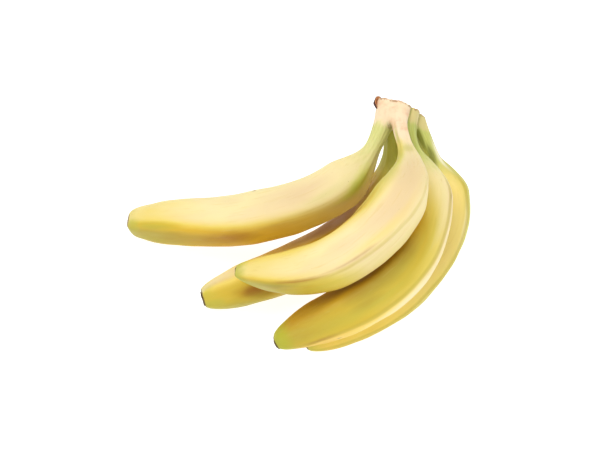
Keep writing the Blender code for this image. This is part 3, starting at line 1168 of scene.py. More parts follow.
# Cut crown, a day or two old: corky and matt, cream to tan, with brown where the sap has dried and at the
# cores of the necks. Its fibres are about a fifth of a millimetre and are drawn at half a millimetre
DRIED_CUT = Finish(
    name="dried_crown_cut",
    ground="#D9B98A",
    coats=(
        Coat("#EAD2A6", 0.48, 0.62, strength=0.8, grain=(4.5, 4.5), follows=Follows.PLACE),
        Coat("#9C7044", 0.52, 0.66, strength=0.8, grain=(2.6, 2.6), follows=Follows.PLACE),
        Coat("#5E3F26", 0.62, 0.72, strength=0.85, grain=(1.3, 1.3), follows=Follows.PLACE),
        Coat(
            "#946C44", 0.30, 0.90, mask="core", strength=0.7, ragged=1.2, grain=(3.0, 3.0),
            follows=Follows.PLACE,
        ),
    ),
    reliefs=(
        Relief(0.30, (1.6, 1.6), follows=Follows.PLACE),
        Relief(0.12, (0.5, 0.5), follows=Follows.PLACE),
    ),
    roughness=(0.80, 0.95),
    roughness_grain=(2.0, 2.0),
    follows=Follows.PLACE,
)

# Dried blossom end: a hard brown-black scab, greyer in its dish, with a crust of millimetre crumbs
DRIED_BLOSSOM = Finish(
    name="dried_blossom_end",
    ground="#4A3620",
    coats=(
        Coat("#6B5A34", 0.45, 0.62, strength=0.8, grain=(1.6, 1.6), follows=Follows.PLACE),
        Coat("#2A1D12", 0.52, 0.66, strength=0.8, grain=(1.0, 1.0), follows=Follows.PLACE),
    ),
    reliefs=(Relief(0.30, (0.9, 0.9), follows=Follows.PLACE),),
    roughness=(0.70, 0.90),
    roughness_grain=(1.0, 1.0),
    follows=Follows.PLACE,
)

# Dried scrap of bract: leathery, maroon-black outside and tan inside, with wrinkles a millimetre apart
DRIED_BRACT = Finish(
    name="dried_bract",
    ground="#3A1A18",
    coats=(
        Coat("#5A2A22", 0.48, 0.62, strength=0.7, grain=(2.0, 2.0), follows=Follows.PLACE),
        Coat(
            "#D79A66", 0.35, 0.70, mask="inside", strength=1.0, ragged=0.4, grain=(1.6, 1.6),
            follows=Follows.PLACE,
        ),
    ),
    reliefs=(Relief(0.25, (1.1, 1.1), follows=Follows.PLACE),),
    roughness=(0.55, 0.80),
    roughness_grain=(1.5, 1.5),
    follows=Follows.PLACE,
)


# The fruit's pieces


@dataclass(frozen=True)
class HandSkin:
    """The skin of the whole hand: five bananas, fused at the crown and cut across it.

    Attributes:
        bananas: All bananas.
        crown: The crown.
        sides: Points in a ring.
        neck_step: Spacing of the rings in the necks.
        body_step: Their spacing in the bodies.
        tip_length: Length before the end in which they crowd together.
        tip_rows: How many stand there.
        tip_crowding: Power that crowds them.
        tip_gap: How far short of the line's end the skin ends.
        tip_rounding: Size of the last ring, as a share of its own.
        seam_width: How far beside a seam the skin is softened.
        seam_share: How far a point on the seam moves in one pass, as a share of the way to its neighbours.
        seam_passes: How many passes there are.
        groove_width: Half width of the grooves between the necks.
        groove_depth: Their depth.
        groove_start: Length over which they come in.
        groove_fade: Distances below the cut between which they fade out.
        grooves: Pairs of bananas with a groove between their necks, how marked it is, and how far below the
            cut it starts.
        rim: Distances below the cut between which its brown rim fades out.
        core: Distances from a neck's line between which its brown core fades out.
        scab: Distances before the line's end between which the scab fades out.
        pattern_gap: How far apart the bananas lie in the peel's pattern, so that no two look alike.
        cut_tolerance: How far below the cut a face still belongs to it.
        crease_deg: Angle past which an edge is drawn sharp.
        table_lift: How far over the table the lowest points lie.
    """

    bananas: tuple[Banana, ...]
    crown: Crown
    sides: int = 84
    neck_step: float = 1.2
    body_step: float = 1.45
    tip_length: float = 22.0
    tip_rows: int = 26
    tip_crowding: float = 1.8
    tip_gap: float = 1.9
    tip_rounding: float = 0.9
    seam_width: float = 2.2
    seam_share: float = 0.5
    seam_passes: int = 12
    groove_width: float = 2.0
    groove_depth: float = 1.0
    groove_start: float = 5.0
    groove_fade: tuple[float, float] = (26.0, 40.0)
    grooves: tuple[tuple[tuple[int, int], float, float], ...] = (
        ((2, 3), 1.0, -5.0),
        ((3, 4), 1.0, -5.0),
        ((0, 1), 0.8, -5.0),
        ((1, 4), 0.8, -5.0),
        (UPPER_PAIR, 1.1, 15.0),
    )
    rim: tuple[float, float] = (0.4, 3.4)
    core: tuple[float, float] = (2.0, 6.0)
    scab: tuple[float, float] = (1.7, 4.0)
    pattern_gap: float = 500.0
    cut_tolerance: float = 0.06
    crease_deg: float = 50.0
    table_lift: float = 0.02

    def row_distances(self, length: float) -> Floats:
        """Where the rings stand: even along the neck and the body, and ever closer towards the tip.

        Near the tip they stand t^crowding of the way from the skin's end, for t even from 1 to 0.

        Args:
            length: The line's length.

        Returns:
            Distances from the root.
        """
        neck = np.arange(0.0, self.crown.fade[1], self.neck_step)
        body_end = length - self.tip_length
        count = round((body_end - self.crown.fade[1]) / self.body_step)
        body = np.linspace(self.crown.fade[1], body_end, count, endpoint=False)
        left = np.linspace(1.0, 0.0, self.tip_rows) ** self.tip_crowding
        return np.concatenate([neck, body, length - self.tip_gap - left * (self.tip_length - self.tip_gap)])

    def banana_tube(self, own: int, necks: list[Strand], webs: list[Strand]) -> bpy.types.Object:
        """One banana's skin: its section carried along its line, swollen into the crown near its root.

        A point is line(s) + (reach(s, angle) * ridging(s, angle) + unevenness(s, angle)) * direction, where
        reach fades from the fused skin to the banana's own half width.

        Args:
            own: The banana's number.
            necks: The necks' strands.
            webs: The webs' strands.

        Returns:
            The closed tube.
        """
        banana = self.bananas[own]
        line = banana.line()
        distances = self.row_distances(line.length)
        _, outward, sideways = line.frames(distances)
        angles = np.linspace(0.0, 2.0 * math.pi, self.sides, endpoint=False)[None, :]
        turned = angles + banana.roll(distances, line.length)[:, None]
        directions = np.cos(turned)[..., None] * outward[:, None, :]
        directions += np.sin(turned)[..., None] * sideways[:, None, :]
        centres = line.at(distances)
        girth = banana.girth(distances, line.length)
        girth[-1] *= self.tip_rounding
        reach = np.repeat(girth[:, None], self.sides, axis=1)
        rooted = distances < self.crown.fade[1]
        starts = np.repeat(centres[rooted], self.sides, axis=0)
        swollen = self.crown.reach(necks, webs, own, starts, directions[rooted].reshape(-1, 3))
        alone = ease(distances[rooted], *self.crown.fade)[:, None]
        reach[rooted] += (swollen.reshape(-1, self.sides) - reach[rooted]) * (1.0 - alone)
        along = distances[:, None]
        reach = reach * banana.ridging(along, angles, line.length)
        reach += banana.unevenness(along, angles, line.length)
        return tube(banana.name, centres[:, None, :] + reach[..., None] * directions)

    def soften_seams(self, mesh: bpy.types.Mesh) -> None:
        """Evens out the creases where two necks meet.

        In each pass a point moves towards the mean of its neighbours, by share * exp(-(rival / width)^2), so
        most on the line halfway between two necks. It dies out where the necks part.

        Args:
            mesh: The hand's mesh.
        """
        points = mesh_points(mesh)
        growth = Growth.of(points, self.bananas)
        share = self.seam_share * np.exp(-((growth.rival / self.seam_width) ** 2))
        share *= 1.0 - ease(growth.along, *self.crown.fade)
        edges = np.empty(len(mesh.edges) * 2, np.int64)
        mesh.edges.foreach_get("vertices", edges)
        first, second = edges.reshape(-1, 2).T
        count = np.bincount(edges, minlength=len(points))[:, None]
        for _ in range(self.seam_passes):
            total = np.zeros_like(points)
            np.add.at(total, first, points[second])
            np.add.at(total, second, points[first])
            points += share[:, None] * (total / count - points)
        set_points(mesh, points)

    def crease_share(self, growth: Growth, below: Floats) -> Floats:
        """How deep each point lies in a groove between two necks, 1 at its bottom.

        It is exp(-(rival / groove width)^2), times how marked the groove is between these two bananas. It
        comes in over a few millimetres from its start and fades out along the necks.

        Args:
            growth: Where the points lie on the fruit.
            below: How far they lie below the cut.

        Returns:
            The share at each point.
        """
        marked = np.zeros(len(below))
        for pair, share, start in self.grooves:
            between = np.isin(growth.own, pair) & np.isin(growth.other, pair)
            marked[between] = share * ease(below[between], start, start + self.groove_start)
        fade = 1.0 - ease(below, *self.groove_fade)
        return marked * fade * np.exp(-((growth.rival / self.groove_width) ** 2))

    def groove(self, mesh: bpy.types.Mesh) -> None:
        """Presses the grooves between the necks in, towards the nearest banana's line.

        Args:
            mesh: The hand's mesh.
        """
        points = mesh_points(mesh)
        growth = Growth.of(points, self.bananas)
        share = self.crease_share(growth, self.crown.below_cut(points))
        for number, banana in enumerate(self.bananas):
            mine = (growth.own == number) & (share > 0.0)
            towards = unit(banana.line().at(growth.along[mine]) - points[mine])
            points[mine] += share[mine, None] * self.groove_depth * towards
        set_points(mesh, points)

    def mark(self, mesh: bpy.types.Mesh) -> None:
        """Stores what the finishes read: the place on the growth, and a mask for each kind of place.

        The place is (along, radius * cos(angle), radius * sin(angle)), with each banana a gap farther along.

        Args:
            mesh: The hand's mesh.
        """
        points = mesh_points(mesh)
        growth = Growth.of(points, self.bananas)
        below = self.crown.below_cut(points)
        masks: dict[str, Floats] = {}
        for number, banana in enumerate(self.bananas):
            mine = growth.own == number
            lengthways = growth.along[mine], growth.from_tip[mine]
            on_banana = banana.masks(*lengthways, growth.angle[mine], growth.radius[mine], below[mine])
            for name, values in on_banana.items():
                masks.setdefault(name, np.zeros(len(points)))[mine] = values
        pale = masks.pop("pale")
        upper = np.isin(growth.own, UPPER_PAIR)
        masks["crown"] = np.where(upper, pale, 0.0)
        masks["crown_side"] = np.where(upper, 0.0, pale)
        # The grooves' olive coat is the necks' green darkened as painted shade
        masks["crease_green_and_shade"] = self.crease_share(growth, below)
        masks["rim"] = 1.0 - ease(below, *self.rim)
        masks["core"] = 1.0 - ease(growth.radius, *self.core)
        masks["scab"] = 1.0 - ease(growth.from_tip, *self.scab)
        for name, values in masks.items():
            set_mask(mesh, name, values)
        along = growth.along + self.pattern_gap * growth.own
        outward, sideways = np.cos(growth.angle), np.sin(growth.angle)
        place = np.stack([along, growth.radius * outward, growth.radius * sideways], axis=1)
        attribute = mesh.attributes.new("growth", "FLOAT_VECTOR", "POINT")
        attribute.data.foreach_set("vector", (place * MM).astype(np.float32).ravel())

    def dress(self, obj: bpy.types.Object) -> None:
        """Gives the skin its peel and the cut face its dried flesh.

        Args:
            obj: The hand's object.
        """
        obj.data.materials.clear()
        obj.data.materials.append(RIPE_PEEL.material())
        obj.data.materials.append(DRIED_CUT.material())
        centres = np.empty(len(obj.data.polygons) * 3)
        obj.data.polygons.foreach_get("center", centres)
        on_cut = self.crown.below_cut(centres.reshape(-1, 3) / MM + MIDDLE) < self.cut_tolerance
        obj.data.polygons.foreach_set("material_index", on_cut.astype(np.int32))
        obj.data.shade_smooth()
        obj.data.set_sharp_from_angle(angle=math.radians(self.crease_deg))

    def build(self) -> bpy.types.Object:
        """Builds the hand's skin, lying on the table, and dresses it.

        Returns:
            The skin's object.
        """
        necks, webs = self.crown.strands(self.bananas)
        tubes = [self.banana_tube(own, necks, webs) for own in range(len(self.bananas))]
        hand = tubes[0]
        combine(hand, tubes[1:], "UNION")
        self.soften_seams(hand.data)
        self.groove(hand.data)
        combine(hand, [self.crown.cutter()], "DIFFERENCE")
        points = drawn_in(mesh_points(hand.data))
        points[:, 2] = np.maximum(points[:, 2], self.table_lift)
        set_points(hand.data, points)
        hand.name = "banana_hand_skin"
        self.mark(hand.data)
        self.dress(hand)
        return hand


@dataclass(frozen=True)
class BlossomEnd:
    """The dried end of a banana's flower: a short ragged collar round a dish, with a stump in its middle.

    Attributes:
        banana: The banana that it ends.
        sides: Points in a ring.
        rows: Rings.
        ragged: Height of the waves round it.
        ragged_radius: Share of them that the radius takes.
        ragged_from: Heights between which the collar takes them on.
        ragged_waves: How many of each go round.
        ragged_seed: What the banana's seed is raised by for them.
        ridging: How marked the banana's ridges are in it.
        top: Greatest height over the line's end.
        profile: Radius as a share of the tip's half width, and height over the line's end.
    """

    banana: Banana
    sides: int = 60
    rows: int = 40
    ragged: float = 0.10
    ragged_radius: float = 0.3
    ragged_from: tuple[float, float] = (-2.6, -1.2)
    ragged_waves: tuple[int, ...] = (2, 3, 5, 7, 11)
    ragged_seed: int = 300
    ridging: float = 0.05
    top: float = -0.02
    profile: tuple[tuple[float, float], ...] = (
        (0.50, -2.9), (0.86, -2.6), (0.97, -2.1), (0.99, -1.7), (0.95, -1.35), (0.87, -1.1), (0.76, -1.15),
        (0.66, -1.5), (0.52, -1.9), (0.34, -2.0), (0.22, -1.7), (0.14, -1.35), (0.06, -1.3),
    )

    def build(self) -> bpy.types.Object:
        """Turns the profile round the line's end.

        The radius is multiplied by 1 + ridging * cos(5 * angle from a ridge) + a sum of waves round it, each
        ragged * sin(waves * angle + phase) / sqrt(waves), and the same sum lifts the collar.

        Returns:
            The blossom end's object.
        """
        line = self.banana.line()
        end = np.array([line.length])
        tangent, outward, sideways = (direction[0] for direction in line.frames(end))
        corners = np.array(self.profile)
        at = np.linspace(0.0, len(corners) - 1.0, self.rows)
        knots = np.arange(len(corners))
        radius = np.interp(at, knots, corners[:, 0]) * self.banana.tip
        height = np.interp(at, knots, corners[:, 1])
        angles = np.linspace(0.0, 2.0 * math.pi, self.sides, endpoint=False)
        random = np.random.default_rng(self.banana.seed + self.ragged_seed)
        wave = np.zeros(self.sides)
        for around in self.ragged_waves:
            wave += np.sin(around * angles + random.uniform(0.0, 2.0 * math.pi)) / around**0.5
        wave *= self.ragged
        ridge = self.banana.face_angles()[0] + math.pi / Banana.RIDGES
        pentagon = self.ridging * np.cos(Banana.RIDGES * (angles - ridge))
        radial = radius[:, None] * (1.0 + pentagon + self.ragged_radius * wave)
        lift = height[:, None] + wave * ease(height, *self.ragged_from)[:, None]
        lift = np.minimum(lift, self.top)
        directions = np.cos(angles)[:, None] * outward + np.sin(angles)[:, None] * sideways
        rings = line.at(end)[0] + radial[..., None] * directions + lift[..., None] * tangent
        obj = tube(f"{self.banana.name}_blossom_end", rings)
        obj.data.materials.append(DRIED_BLOSSOM.material())
        obj.data.shade_smooth()
        return obj


@dataclass(frozen=True)
class Bract:
    """The dried scrap of bract: a small curled scale, open to one side and pinched at both ends.

    Attributes:
        middle: Its middle, in the routes' millimetres.
        down: Direction along it.
        opening: Direction it is open to.
        length: Its length.
        radius: Its half width.
        thickness: Its thickness, at most half the radius.
        wrap_deg: How far it wraps round, each way from its back.
        pinch: Power that closes the ends; less is blunter.
        ends: Where the first and last ring stand, as shares of the length.
        curls: Curls of the edge: height, waves round and turn along.
        ripples: Ripples along it: height and waves.
        rows: Rings.
        arc: Points on each face of a ring.
    """

    middle: Point = (54.0, 76.8, 78.8)
    down: Point = (0.15, -0.90, -0.40)
    opening: Point = (0.50, -0.45, 0.74)
    length: float = 10.5
    radius: float = 3.5
    thickness: float = 0.8
    wrap_deg: float = 98.0
    pinch: float = 0.6
    ends: tuple[float, float] = (0.03, 0.97)
    curls: tuple[float, float, float] = (0.06, 3.0, 9.0)
    ripples: tuple[float, float] = (0.04, 17.0)
    rows: int = 36
    arc: int = 30

    def build(self) -> bpy.types.Object:
        """Builds the scale as a C-shaped section carried down it.

        Its radius is radius * sin(pi t)^pinch along the length, times 1 + a curl and a ripple. The inner arc
        lies one thickness inside the outer one, and the ring runs out along one and back along the other.

        Returns:
            The bract's object.
        """
        down = unit(np.array(self.down))
        opening = np.array(self.opening)
        opening = unit(opening - (opening @ down) * down)
        side = np.cross(down, opening)
        share = np.linspace(*self.ends, self.rows)
        radius = self.radius * np.sin(math.pi * share) ** self.pinch
        wrap = math.radians(self.wrap_deg)
        arc = np.linspace(-wrap, wrap, self.arc)
        angles = np.concatenate([arc, arc[::-1]])
        inner = np.concatenate([np.zeros(self.arc), np.ones(self.arc)])
        thin = np.minimum(self.thickness, radius / 2.0)
        curl, around, turn = self.curls
        ripple, along = self.ripples
        wave = 1.0 + curl * np.sin(around * angles[None, :] + turn * share[:, None])
        wave += ripple * np.sin(along * share[:, None])
        reach = radius[:, None] * wave - inner[None, :] * thin[:, None]
        directions = -np.cos(angles)[:, None] * opening + np.sin(angles)[:, None] * side
        centres = np.array(self.middle) + (share - 0.5)[:, None] * self.length * down
        rings = centres[:, None, :] + reach[..., None] * directions[None]
        obj = tube("dried_bract", rings)
        set_mask(obj.data, "inside", np.concatenate([np.tile(inner, self.rows), [0.0, 0.0]]))
        obj.data.materials.append(DRIED_BRACT.material())
        obj.data.shade_smooth()
        return obj


# The studio


@dataclass(frozen=True)
class SoftLight:
    """A square soft light that looks at the fruit: where it stands, its size and its power."""

    name: str
    place: Point
    size: float
    power: float
    colour: str = "#FFFFFF"

    def add(self, target: Point) -> None:
        """Adds the light, turned to the target.

        Args:
            target: The place it looks at.
        """
        data = bpy.data.lights.new(self.name, "AREA")
        data.size = self.size
        data.energy = self.power
        data.color = linear(self.colour)[:3]
        light = bpy.data.objects.new(self.name, data)
        light.location = self.place
        light.rotation_euler = aim(self.place, target)
        bpy.context.scene.collection.objects.link(light)


def aim(place: Point, target: Point) -> tuple[float, float, float]:
    """How an object that looks down its own -Z is turned to look at a target.

    Args:
        place: Where it stands; not straight above the target.
        target: What it looks at.

    Returns:
        Its Euler angles.
    """
    away = np.array(place) - np.array(target)
    return (math.atan2(math.hypot(away[0], away[1]), away[2]), 0.0, math.atan2(away[0], -away[1]))


@dataclass(frozen=True)
class Studio:
    """A pale floor, soft light and the camera at the photograph's viewing angle.

    The floor is matt white board. It glows a little, so that it stays white and its shadows stay faint, as
    on a table that is lit all over.
    """

    target: Point = (0.0007, 0.0036, 0.045)
    distance: float = 1.4
    elevation_deg: float = 60.0
    lens: float = 123.5
    far_end: float = 20.0
    floor_size: float = 8.0
    floor_colour: str = "#B3B2B0"
    floor_roughness: float = 0.9
    floor_glow: float = 0.85
    sky_strength: float = 0.36
    lights: tuple[SoftLight, ...] = (
        SoftLight("top_light", (-0.40, 0.45, 1.70), 1.5, 27.4),
        SoftLight("right_light", (1.00, -0.80, 0.90), 1.2, 10.5),
        SoftLight("left_light", (-0.80, -1.10, 0.60), 1.2, 4.5),
    )

    def add_floor(self) -> None:
        """Adds the floor as one large square."""
        half = self.floor_size / 2.0
        corners = half * np.array([[-1.0, -1.0, 0.0], [1.0, -1.0, 0.0], [1.0, 1.0, 0.0], [-1.0, 1.0, 0.0]])
        floor = mesh_object("floor", corners / MM + MIDDLE, [np.array([[0, 1, 2, 3]])])
        material = bpy.data.materials.new("matt_white_board")
        material.use_nodes = True
        shader = material.node_tree.nodes["Principled BSDF"]
        shader.inputs["Base Color"].default_value = linear(self.floor_colour)
        shader.inputs["Roughness"].default_value = self.floor_roughness
        shader.inputs["Emission Color"].default_value = linear("#FFFFFF")
        shader.inputs["Emission Strength"].default_value = self.floor_glow
        floor.data.materials.append(material)

    def add_camera(self) -> None:
        """Adds the camera, on a circle in front of the fruit, looking down on it."""
        data = bpy.data.cameras.new("camera")
        data.lens = self.lens
        data.clip_end = self.far_end
        camera = bpy.data.objects.new("camera", data)
        rise = math.radians(self.elevation_deg)
        x, y, z = self.target
        camera.location = (x, y - self.distance * math.cos(rise), z + self.distance * math.sin(rise))
        camera.rotation_euler = (math.radians(90.0 - self.elevation_deg), 0.0, 0.0)
        bpy.context.scene.collection.objects.link(camera)
        bpy.context.scene.camera = camera

    def build(self) -> None:
        """Sets up everything round the fruit."""
        world = bpy.data.worlds.new("sky")
        world.use_nodes = True
        background = world.node_tree.nodes["Background"]
        background.inputs["Color"].default_value = linear("#FFFFFF")
        background.inputs["Strength"].default_value = self.sky_strength
        bpy.context.scene.world = world
        bpy.context.scene.view_settings.view_transform = "Standard"
        self.add_floor()
        self.add_camera()
        for light in self.lights:
            light.add(self.target)


# Routes and widths are the solid's. Only the first banana is a little slimmer over part of its length, and
# the last one's tip a little shorter
BANANAS = (
    Banana(
        "upper_inner",
        (
            (59.5, 84, 77), (54.5, 58.5, 71), (43.0, 37.9, 65.2), (21.5, 19.5, 58.6),
            (-14.5, 10.1, 47.1), (-52, 11.2, 32.6), (-88, 16.5, 20.8), (-119, 24.3, 6),
        ),
        waist=(86.0, 42.0, 0.085),
        half_width=18.6, neck=5.7, tip=5.5, shoulder=(37.0, 76.0),
        taper=150.0, fullness=2.7, bluntness=0.43,
        roll_deg=(38.0, 44.0, 51.0),
        face_tone_light_and_shade=(
            (0.15, 0.20, 0.50, 0.60, 0.25),
            (0.04, 0.10, 0.50, 0.70, 1.05),
            (0.40, 0.30, 0.50, 0.70, 1.60),
        ),
        face_greens=(
            (0.10, 0.10, 0.20, 0.40, 0.20),
            (0.05, 0.05, 0.10, 0.10, 0.10),
            (0.10, 0.10, 0.10, 0.30, 0.75),
        ),
        neck_green=0.6, tip_green=0.45, pale_to=(9.0, 28.0), ridge_line=0.5, seed=11,
        marks=(
            Mark(Spot.BRUISE_AND_SHADE, 150.0, -32.0, 24.0, 8.0, 0.75),
            Mark(Spot.BLUSH, 150.0, 58.0, 20.0, 5.0, 0.5),
            Mark(Spot.BRUISE_AND_SHADE, 122.0, -22.0, 24.0, 5.0, 0.4),
            Mark(Spot.DEEP_AND_SHADE, 214.0, 18.0, 24.0, 10.0, 0.42),
            # The bright yellow-green under the shoulder is partly the skin's green and partly painted light,
            # where the upper outer banana shades it
            Mark(Spot.FRESH, 66.0, -16.0, 17.0, 7.0, 0.8),
            Mark(Spot.RUB, 231.4, 20.0, 2.4, 6.0, 1.8),
            Mark(Spot.GREEN, 206.0, 0.0, 28.0, 4.5, 0.72),
            Mark(Spot.GREEN, 224.0, -8.0, 10.0, 7.0, 1.05),
            Mark(Spot.DEEP_AND_SHADE, 205.0, -1.0, 30.0, 4.5, 1.15),
            Mark(Spot.BLUSH, 100.0, 44.0, 40.0, 11.0, 0.75),
            Mark(Spot.GREEN, 82.0, 14.0, 24.0, 4.5, 0.5),
            Mark(Spot.RUB, 131.0, 76.0, 2.2, 1.0, 1.0),
            Mark(Spot.RUB, 62.0, 30.0, 6.0, 0.8, 0.4),
        ),
    ),
    Banana(
        "lower_inner",
        (
            (65, 88.5, 69.5), (64, 65.5, 58), (62.5, 48.5, 42), (54.5, 27, 27),
            (30.5, 2.5, 19.6), (-3, -16, 16.6), (-36.5, -29.3, 13.6), (-68.2, -38.6, 10.2),
        ),
        half_width=16.8, neck=5.8, tip=5.2, shoulder=(38.0, 81.0),
        taper=125.0, fullness=4.0, bluntness=0.55,
        roll_deg=(48.0, 48.0, 48.0),
        face_tone_light_and_shade=(
            (0.90, 1.00, 0.80, 0.80, 0.90),
            (1.00, 1.10, 0.80, 0.80, 0.90),
            (0.85, 0.20, 0.50, 0.80, 1.50),
        ),
        face_greens=(
            (0.60, 0.50, 0.30, 0.30, 0.60),
            (0.10, 0.00, 0.20, 0.20, 0.30),
            (0.55, 0.00, 0.10, 0.30, 1.10),
        ),
        neck_green=1.0, tip_green=0.5, pale_to=(4.0, 17.0), ridge_line=0.6, seed=12,
        marks=(
            # Painted shade: the ochre and brown where the two upper bananas shade this one, in the gap
            # between them and under the upper outer one's tip
            Mark(Spot.DEEP_AND_SHADE, 152.0, 112.0, 32.0, 15.0, 1.2),
            Mark(Spot.BRUISE_AND_SHADE, 98.0, 122.0, 52.0, 14.0, 1.05),
            Mark(Spot.DEEP_AND_SHADE, 177.0, 24.0, 22.0, 11.0, 1.8),
            Mark(Spot.BRUISE_AND_SHADE, 181.0, 30.0, 18.0, 5.0, 0.85),
            Mark(Spot.BLUSH, 203.0, 74.0, 13.0, 7.0, 0.8),
            Mark(Spot.GREEN, 211.0, 8.0, 13.0, 6.0, 0.95),
        ),
    ),
    Banana(
        "upper_outer",
        (
            (70, 80.5, 79), (68, 55.5, 81.5), (72, 32, 85.5), (70.5, 5, 90.5),
            (51.5, -27.5, 89), (19.5, -47.5, 78.3), (-14, -47, 63.6), (-42, -37, 46.5),
        ),
        half_width=18.7, neck=4.8, tip=4.6, shoulder=(39.0, 93.0),
        taper=112.0, fullness=2.3, bluntness=0.75,
        roll_deg=(15.0, 25.0, 30.0),
        face_tone_light_and_shade=(
            (0.10, 0.45, 0.70, 0.70, 0.20),
            (0.10, 0.70, 0.80, 0.70, 0.18),
            (0.42, 0.75, 0.80, 0.80, 1.60),
        ),
        face_greens=(
            (0.05, 0.80, 0.80, 0.20, 0.20),
            (0.05, 0.35, 0.50, 0.20, 0.35),
            (0.10, 0.15, 0.30, 0.30, 1.00),
        ),
        neck_green=0.25, tip_green=0.8, pale_to=(18.0, 44.0), ridge_line=0.75, seed=13,
        marks=(
            Mark(Spot.BLUSH, 95.0, 36.0, 44.0, 14.0, 1.0),
            Mark(Spot.BLUSH, 138.0, 44.0, 22.0, 9.0, 0.55),
            Mark(Spot.BRUISE_AND_SHADE, 174.0, 1.0, 20.0, 1.7, 0.8),
            Mark(Spot.BRUISE_AND_SHADE, 140.0, 4.0, 30.0, 1.6, 0.6),
            # Painted shade: the ochre band along the left flank, next to the inner bananas
            Mark(Spot.DEEP_AND_SHADE, 130.0, 106.0, 44.0, 7.5, 1.6),
            Mark(Spot.DEEP_AND_SHADE, 124.0, 10.0, 44.0, 5.0, 0.34),
            Mark(Spot.GREEN, 50.0, 55.0, 7.0, 8.0, 0.6),
            Mark(Spot.FRESH, 66.0, 84.0, 16.0, 5.0, 0.45),
            # Painted shade: the dark green in the notch under the crown, and the dark green and brown on the
            # lower side near the tip
            Mark(Spot.OLIVE_SHADE, 24.0, 179.0, 7.0, 4.5, 1.2),
            Mark(Spot.OLIVE_SHADE, 188.0, -9.0, 24.0, 3.6, 0.55),
            Mark(Spot.BRUISE_AND_SHADE, 186.0, -22.0, 26.0, 5.0, 0.45),
            Mark(Spot.RUB, 172.0, 6.0, 5.0, 0.9, 0.55),
            Mark(Spot.GREEN, 36.0, 108.0, 14.0, 2.4, 0.75),
            Mark(Spot.GREEN, 98.0, 106.0, 34.0, 6.0, 0.65),
            Mark(Spot.FRESH, 32.0, -42.0, 16.0, 2.0, 0.6),
        ),
    ),
    Banana(
        "middle_outer",
        (
            (79.5, 86.5, 75), (74.5, 58.5, 64.5), (82.5, 36.5, 58), (86, 7.5, 55.5),
            (75.5, -29.5, 54.8), (47.5, -59.5, 53.8), (14.5, -75, 46), (-16.8, -83.9, 32.4),
        ),
        half_width=17.9, neck=5.4, tip=4.8, shoulder=(37.0, 81.0),
        taper=130.0, fullness=3.6, bluntness=0.64,
        roll_deg=(29.0, 30.0, 22.0),
        face_tone_light_and_shade=(
            (0.06, 0.70, 0.60, 0.60, 0.20),
            (0.85, 1.60, 0.60, 0.60, 0.16),
            (1.35, 1.45, 0.60, 0.80, 0.90),
        ),
        face_greens=(
            (0.25, 0.15, 0.20, 0.20, 0.15),
            (0.70, 0.10, 0.20, 0.20, 0.00),
            (0.62, 0.20, 0.20, 0.40, 0.35),
        ),
        neck_green=0.95, tip_green=1.0, pale_to=(4.0, 17.0), ridge_line=1.0, seed=14,
        marks=(
            Mark(Spot.BLUSH, 82.0, 2.0, 14.0, 2.5, 0.9),
            Mark(Spot.RUB, 82.0, 0.0, 5.0, 0.8, 0.7),
            # Painted shade: the ochre and brown where the upper outer banana shades this one
            Mark(Spot.DEEP_AND_SHADE, 152.0, 76.0, 60.0, 18.0, 1.8),
            Mark(Spot.GREEN, 158.0, 26.0, 42.0, 7.0, 0.75),
            Mark(Spot.DEEP_AND_SHADE, 172.0, 36.0, 28.0, 9.0, 1.45),
            # Painted shade in the groove beside the upper outer banana's neck
            Mark(Spot.OLIVE_SHADE, 40.0, 58.0, 14.0, 2.5, 0.8),
            Mark(Spot.GREEN, 172.0, 60.0, 36.0, 3.4, 0.6),
            Mark(Spot.BLUSH, 208.0, 60.0, 14.0, 5.0, 0.6),
            # A painted highlight on the shoulder
            Mark(Spot.BLOOM, 104.0, 14.0, 30.0, 5.0, 0.36),
            Mark(Spot.BRUISE_AND_SHADE, 206.0, 0.0, 16.0, 2.6, 0.6),
            Mark(Spot.RUB, 196.0, -37.0, 2.0, 1.2, 1.0),
        ),
    ),
    Banana(
        "lower_outer",
        (
            (77.5, 88, 65), (85.5, 66, 53.5), (95.5, 52, 34), (102, 27, 19.8),
            (89.2, -8.2, 17.8), (64.7, -38.5, 18), (32.5, -58.5, 16.7), (0.5, -72, 12.4),
        ),
        half_width=17.8, neck=5.2, tip=5.4, shoulder=(43.0, 73.0),
        taper=105.0, fullness=4.5, bluntness=0.51,
        roll_deg=(56.0, 46.0, 36.0),
        face_tone_light_and_shade=(
            (0.40, 0.80, 0.60, 0.60, 0.40),
            (0.44, 0.80, 0.60, 0.60, 0.50),
            (0.62, 0.80, 0.60, 0.60, 0.80),
        ),
        face_greens=(
            (0.20, 0.20, 0.30, 0.30, 1.10),
            (0.10, 0.20, 0.20, 0.30, 0.95),
            (0.15, 0.20, 0.20, 0.30, 0.50),
        ),
        neck_green=0.75, tip_green=0.6, pale_to=(4.0, 16.0), ridge_line=1.0, seed=15,
        marks=(
            # Painted shade in the neck's hollows (the dark green marks), and painted highlights on the neck
            # and along the body (the pale ones)
            Mark(Spot.OLIVE_SHADE, 25.0, 78.0, 10.0, 2.4, 1.1),
            Mark(Spot.BLOOM, 96.0, 4.0, 26.0, 2.4, 0.5),
            Mark(Spot.BLOOM, 42.0, 0.0, 16.0, 2.4, 0.9),
            Mark(Spot.OLIVE_SHADE, 40.0, 54.0, 11.0, 2.4, 1.1),
            Mark(Spot.FRESH, 96.0, -18.0, 46.0, 6.5, 0.6),
        ),
    ),
)


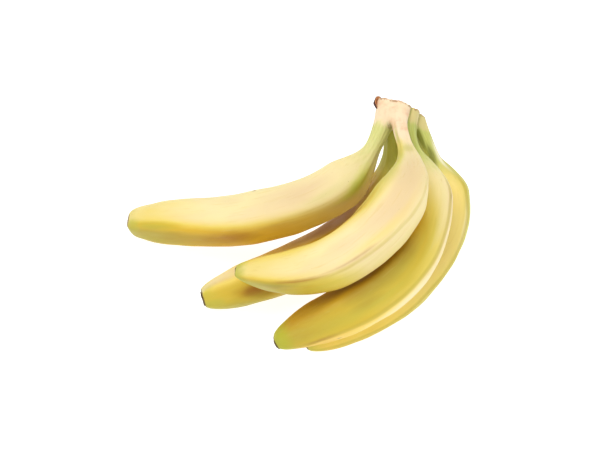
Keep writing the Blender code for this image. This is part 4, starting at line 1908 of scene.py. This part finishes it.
def main() -> None:
    """Builds the studio and every piece of the fruit, and puts each on its body."""
    logging.basicConfig(level=logging.INFO, format="%(message)s")
    Studio().build()
    skin = HandSkin(BANANAS, Crown()).build()
    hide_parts(NODE)
    pieces = [skin, Bract().build()] + [BlossomEnd(banana).build() for banana in BANANAS]
    for piece in pieces:
        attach(piece, BODY)
        mesh = piece.data
        LOG.info("%s: %d points, %d faces", piece.name, len(mesh.vertices), len(mesh.polygons))


if __name__ == "__main__":
    main()
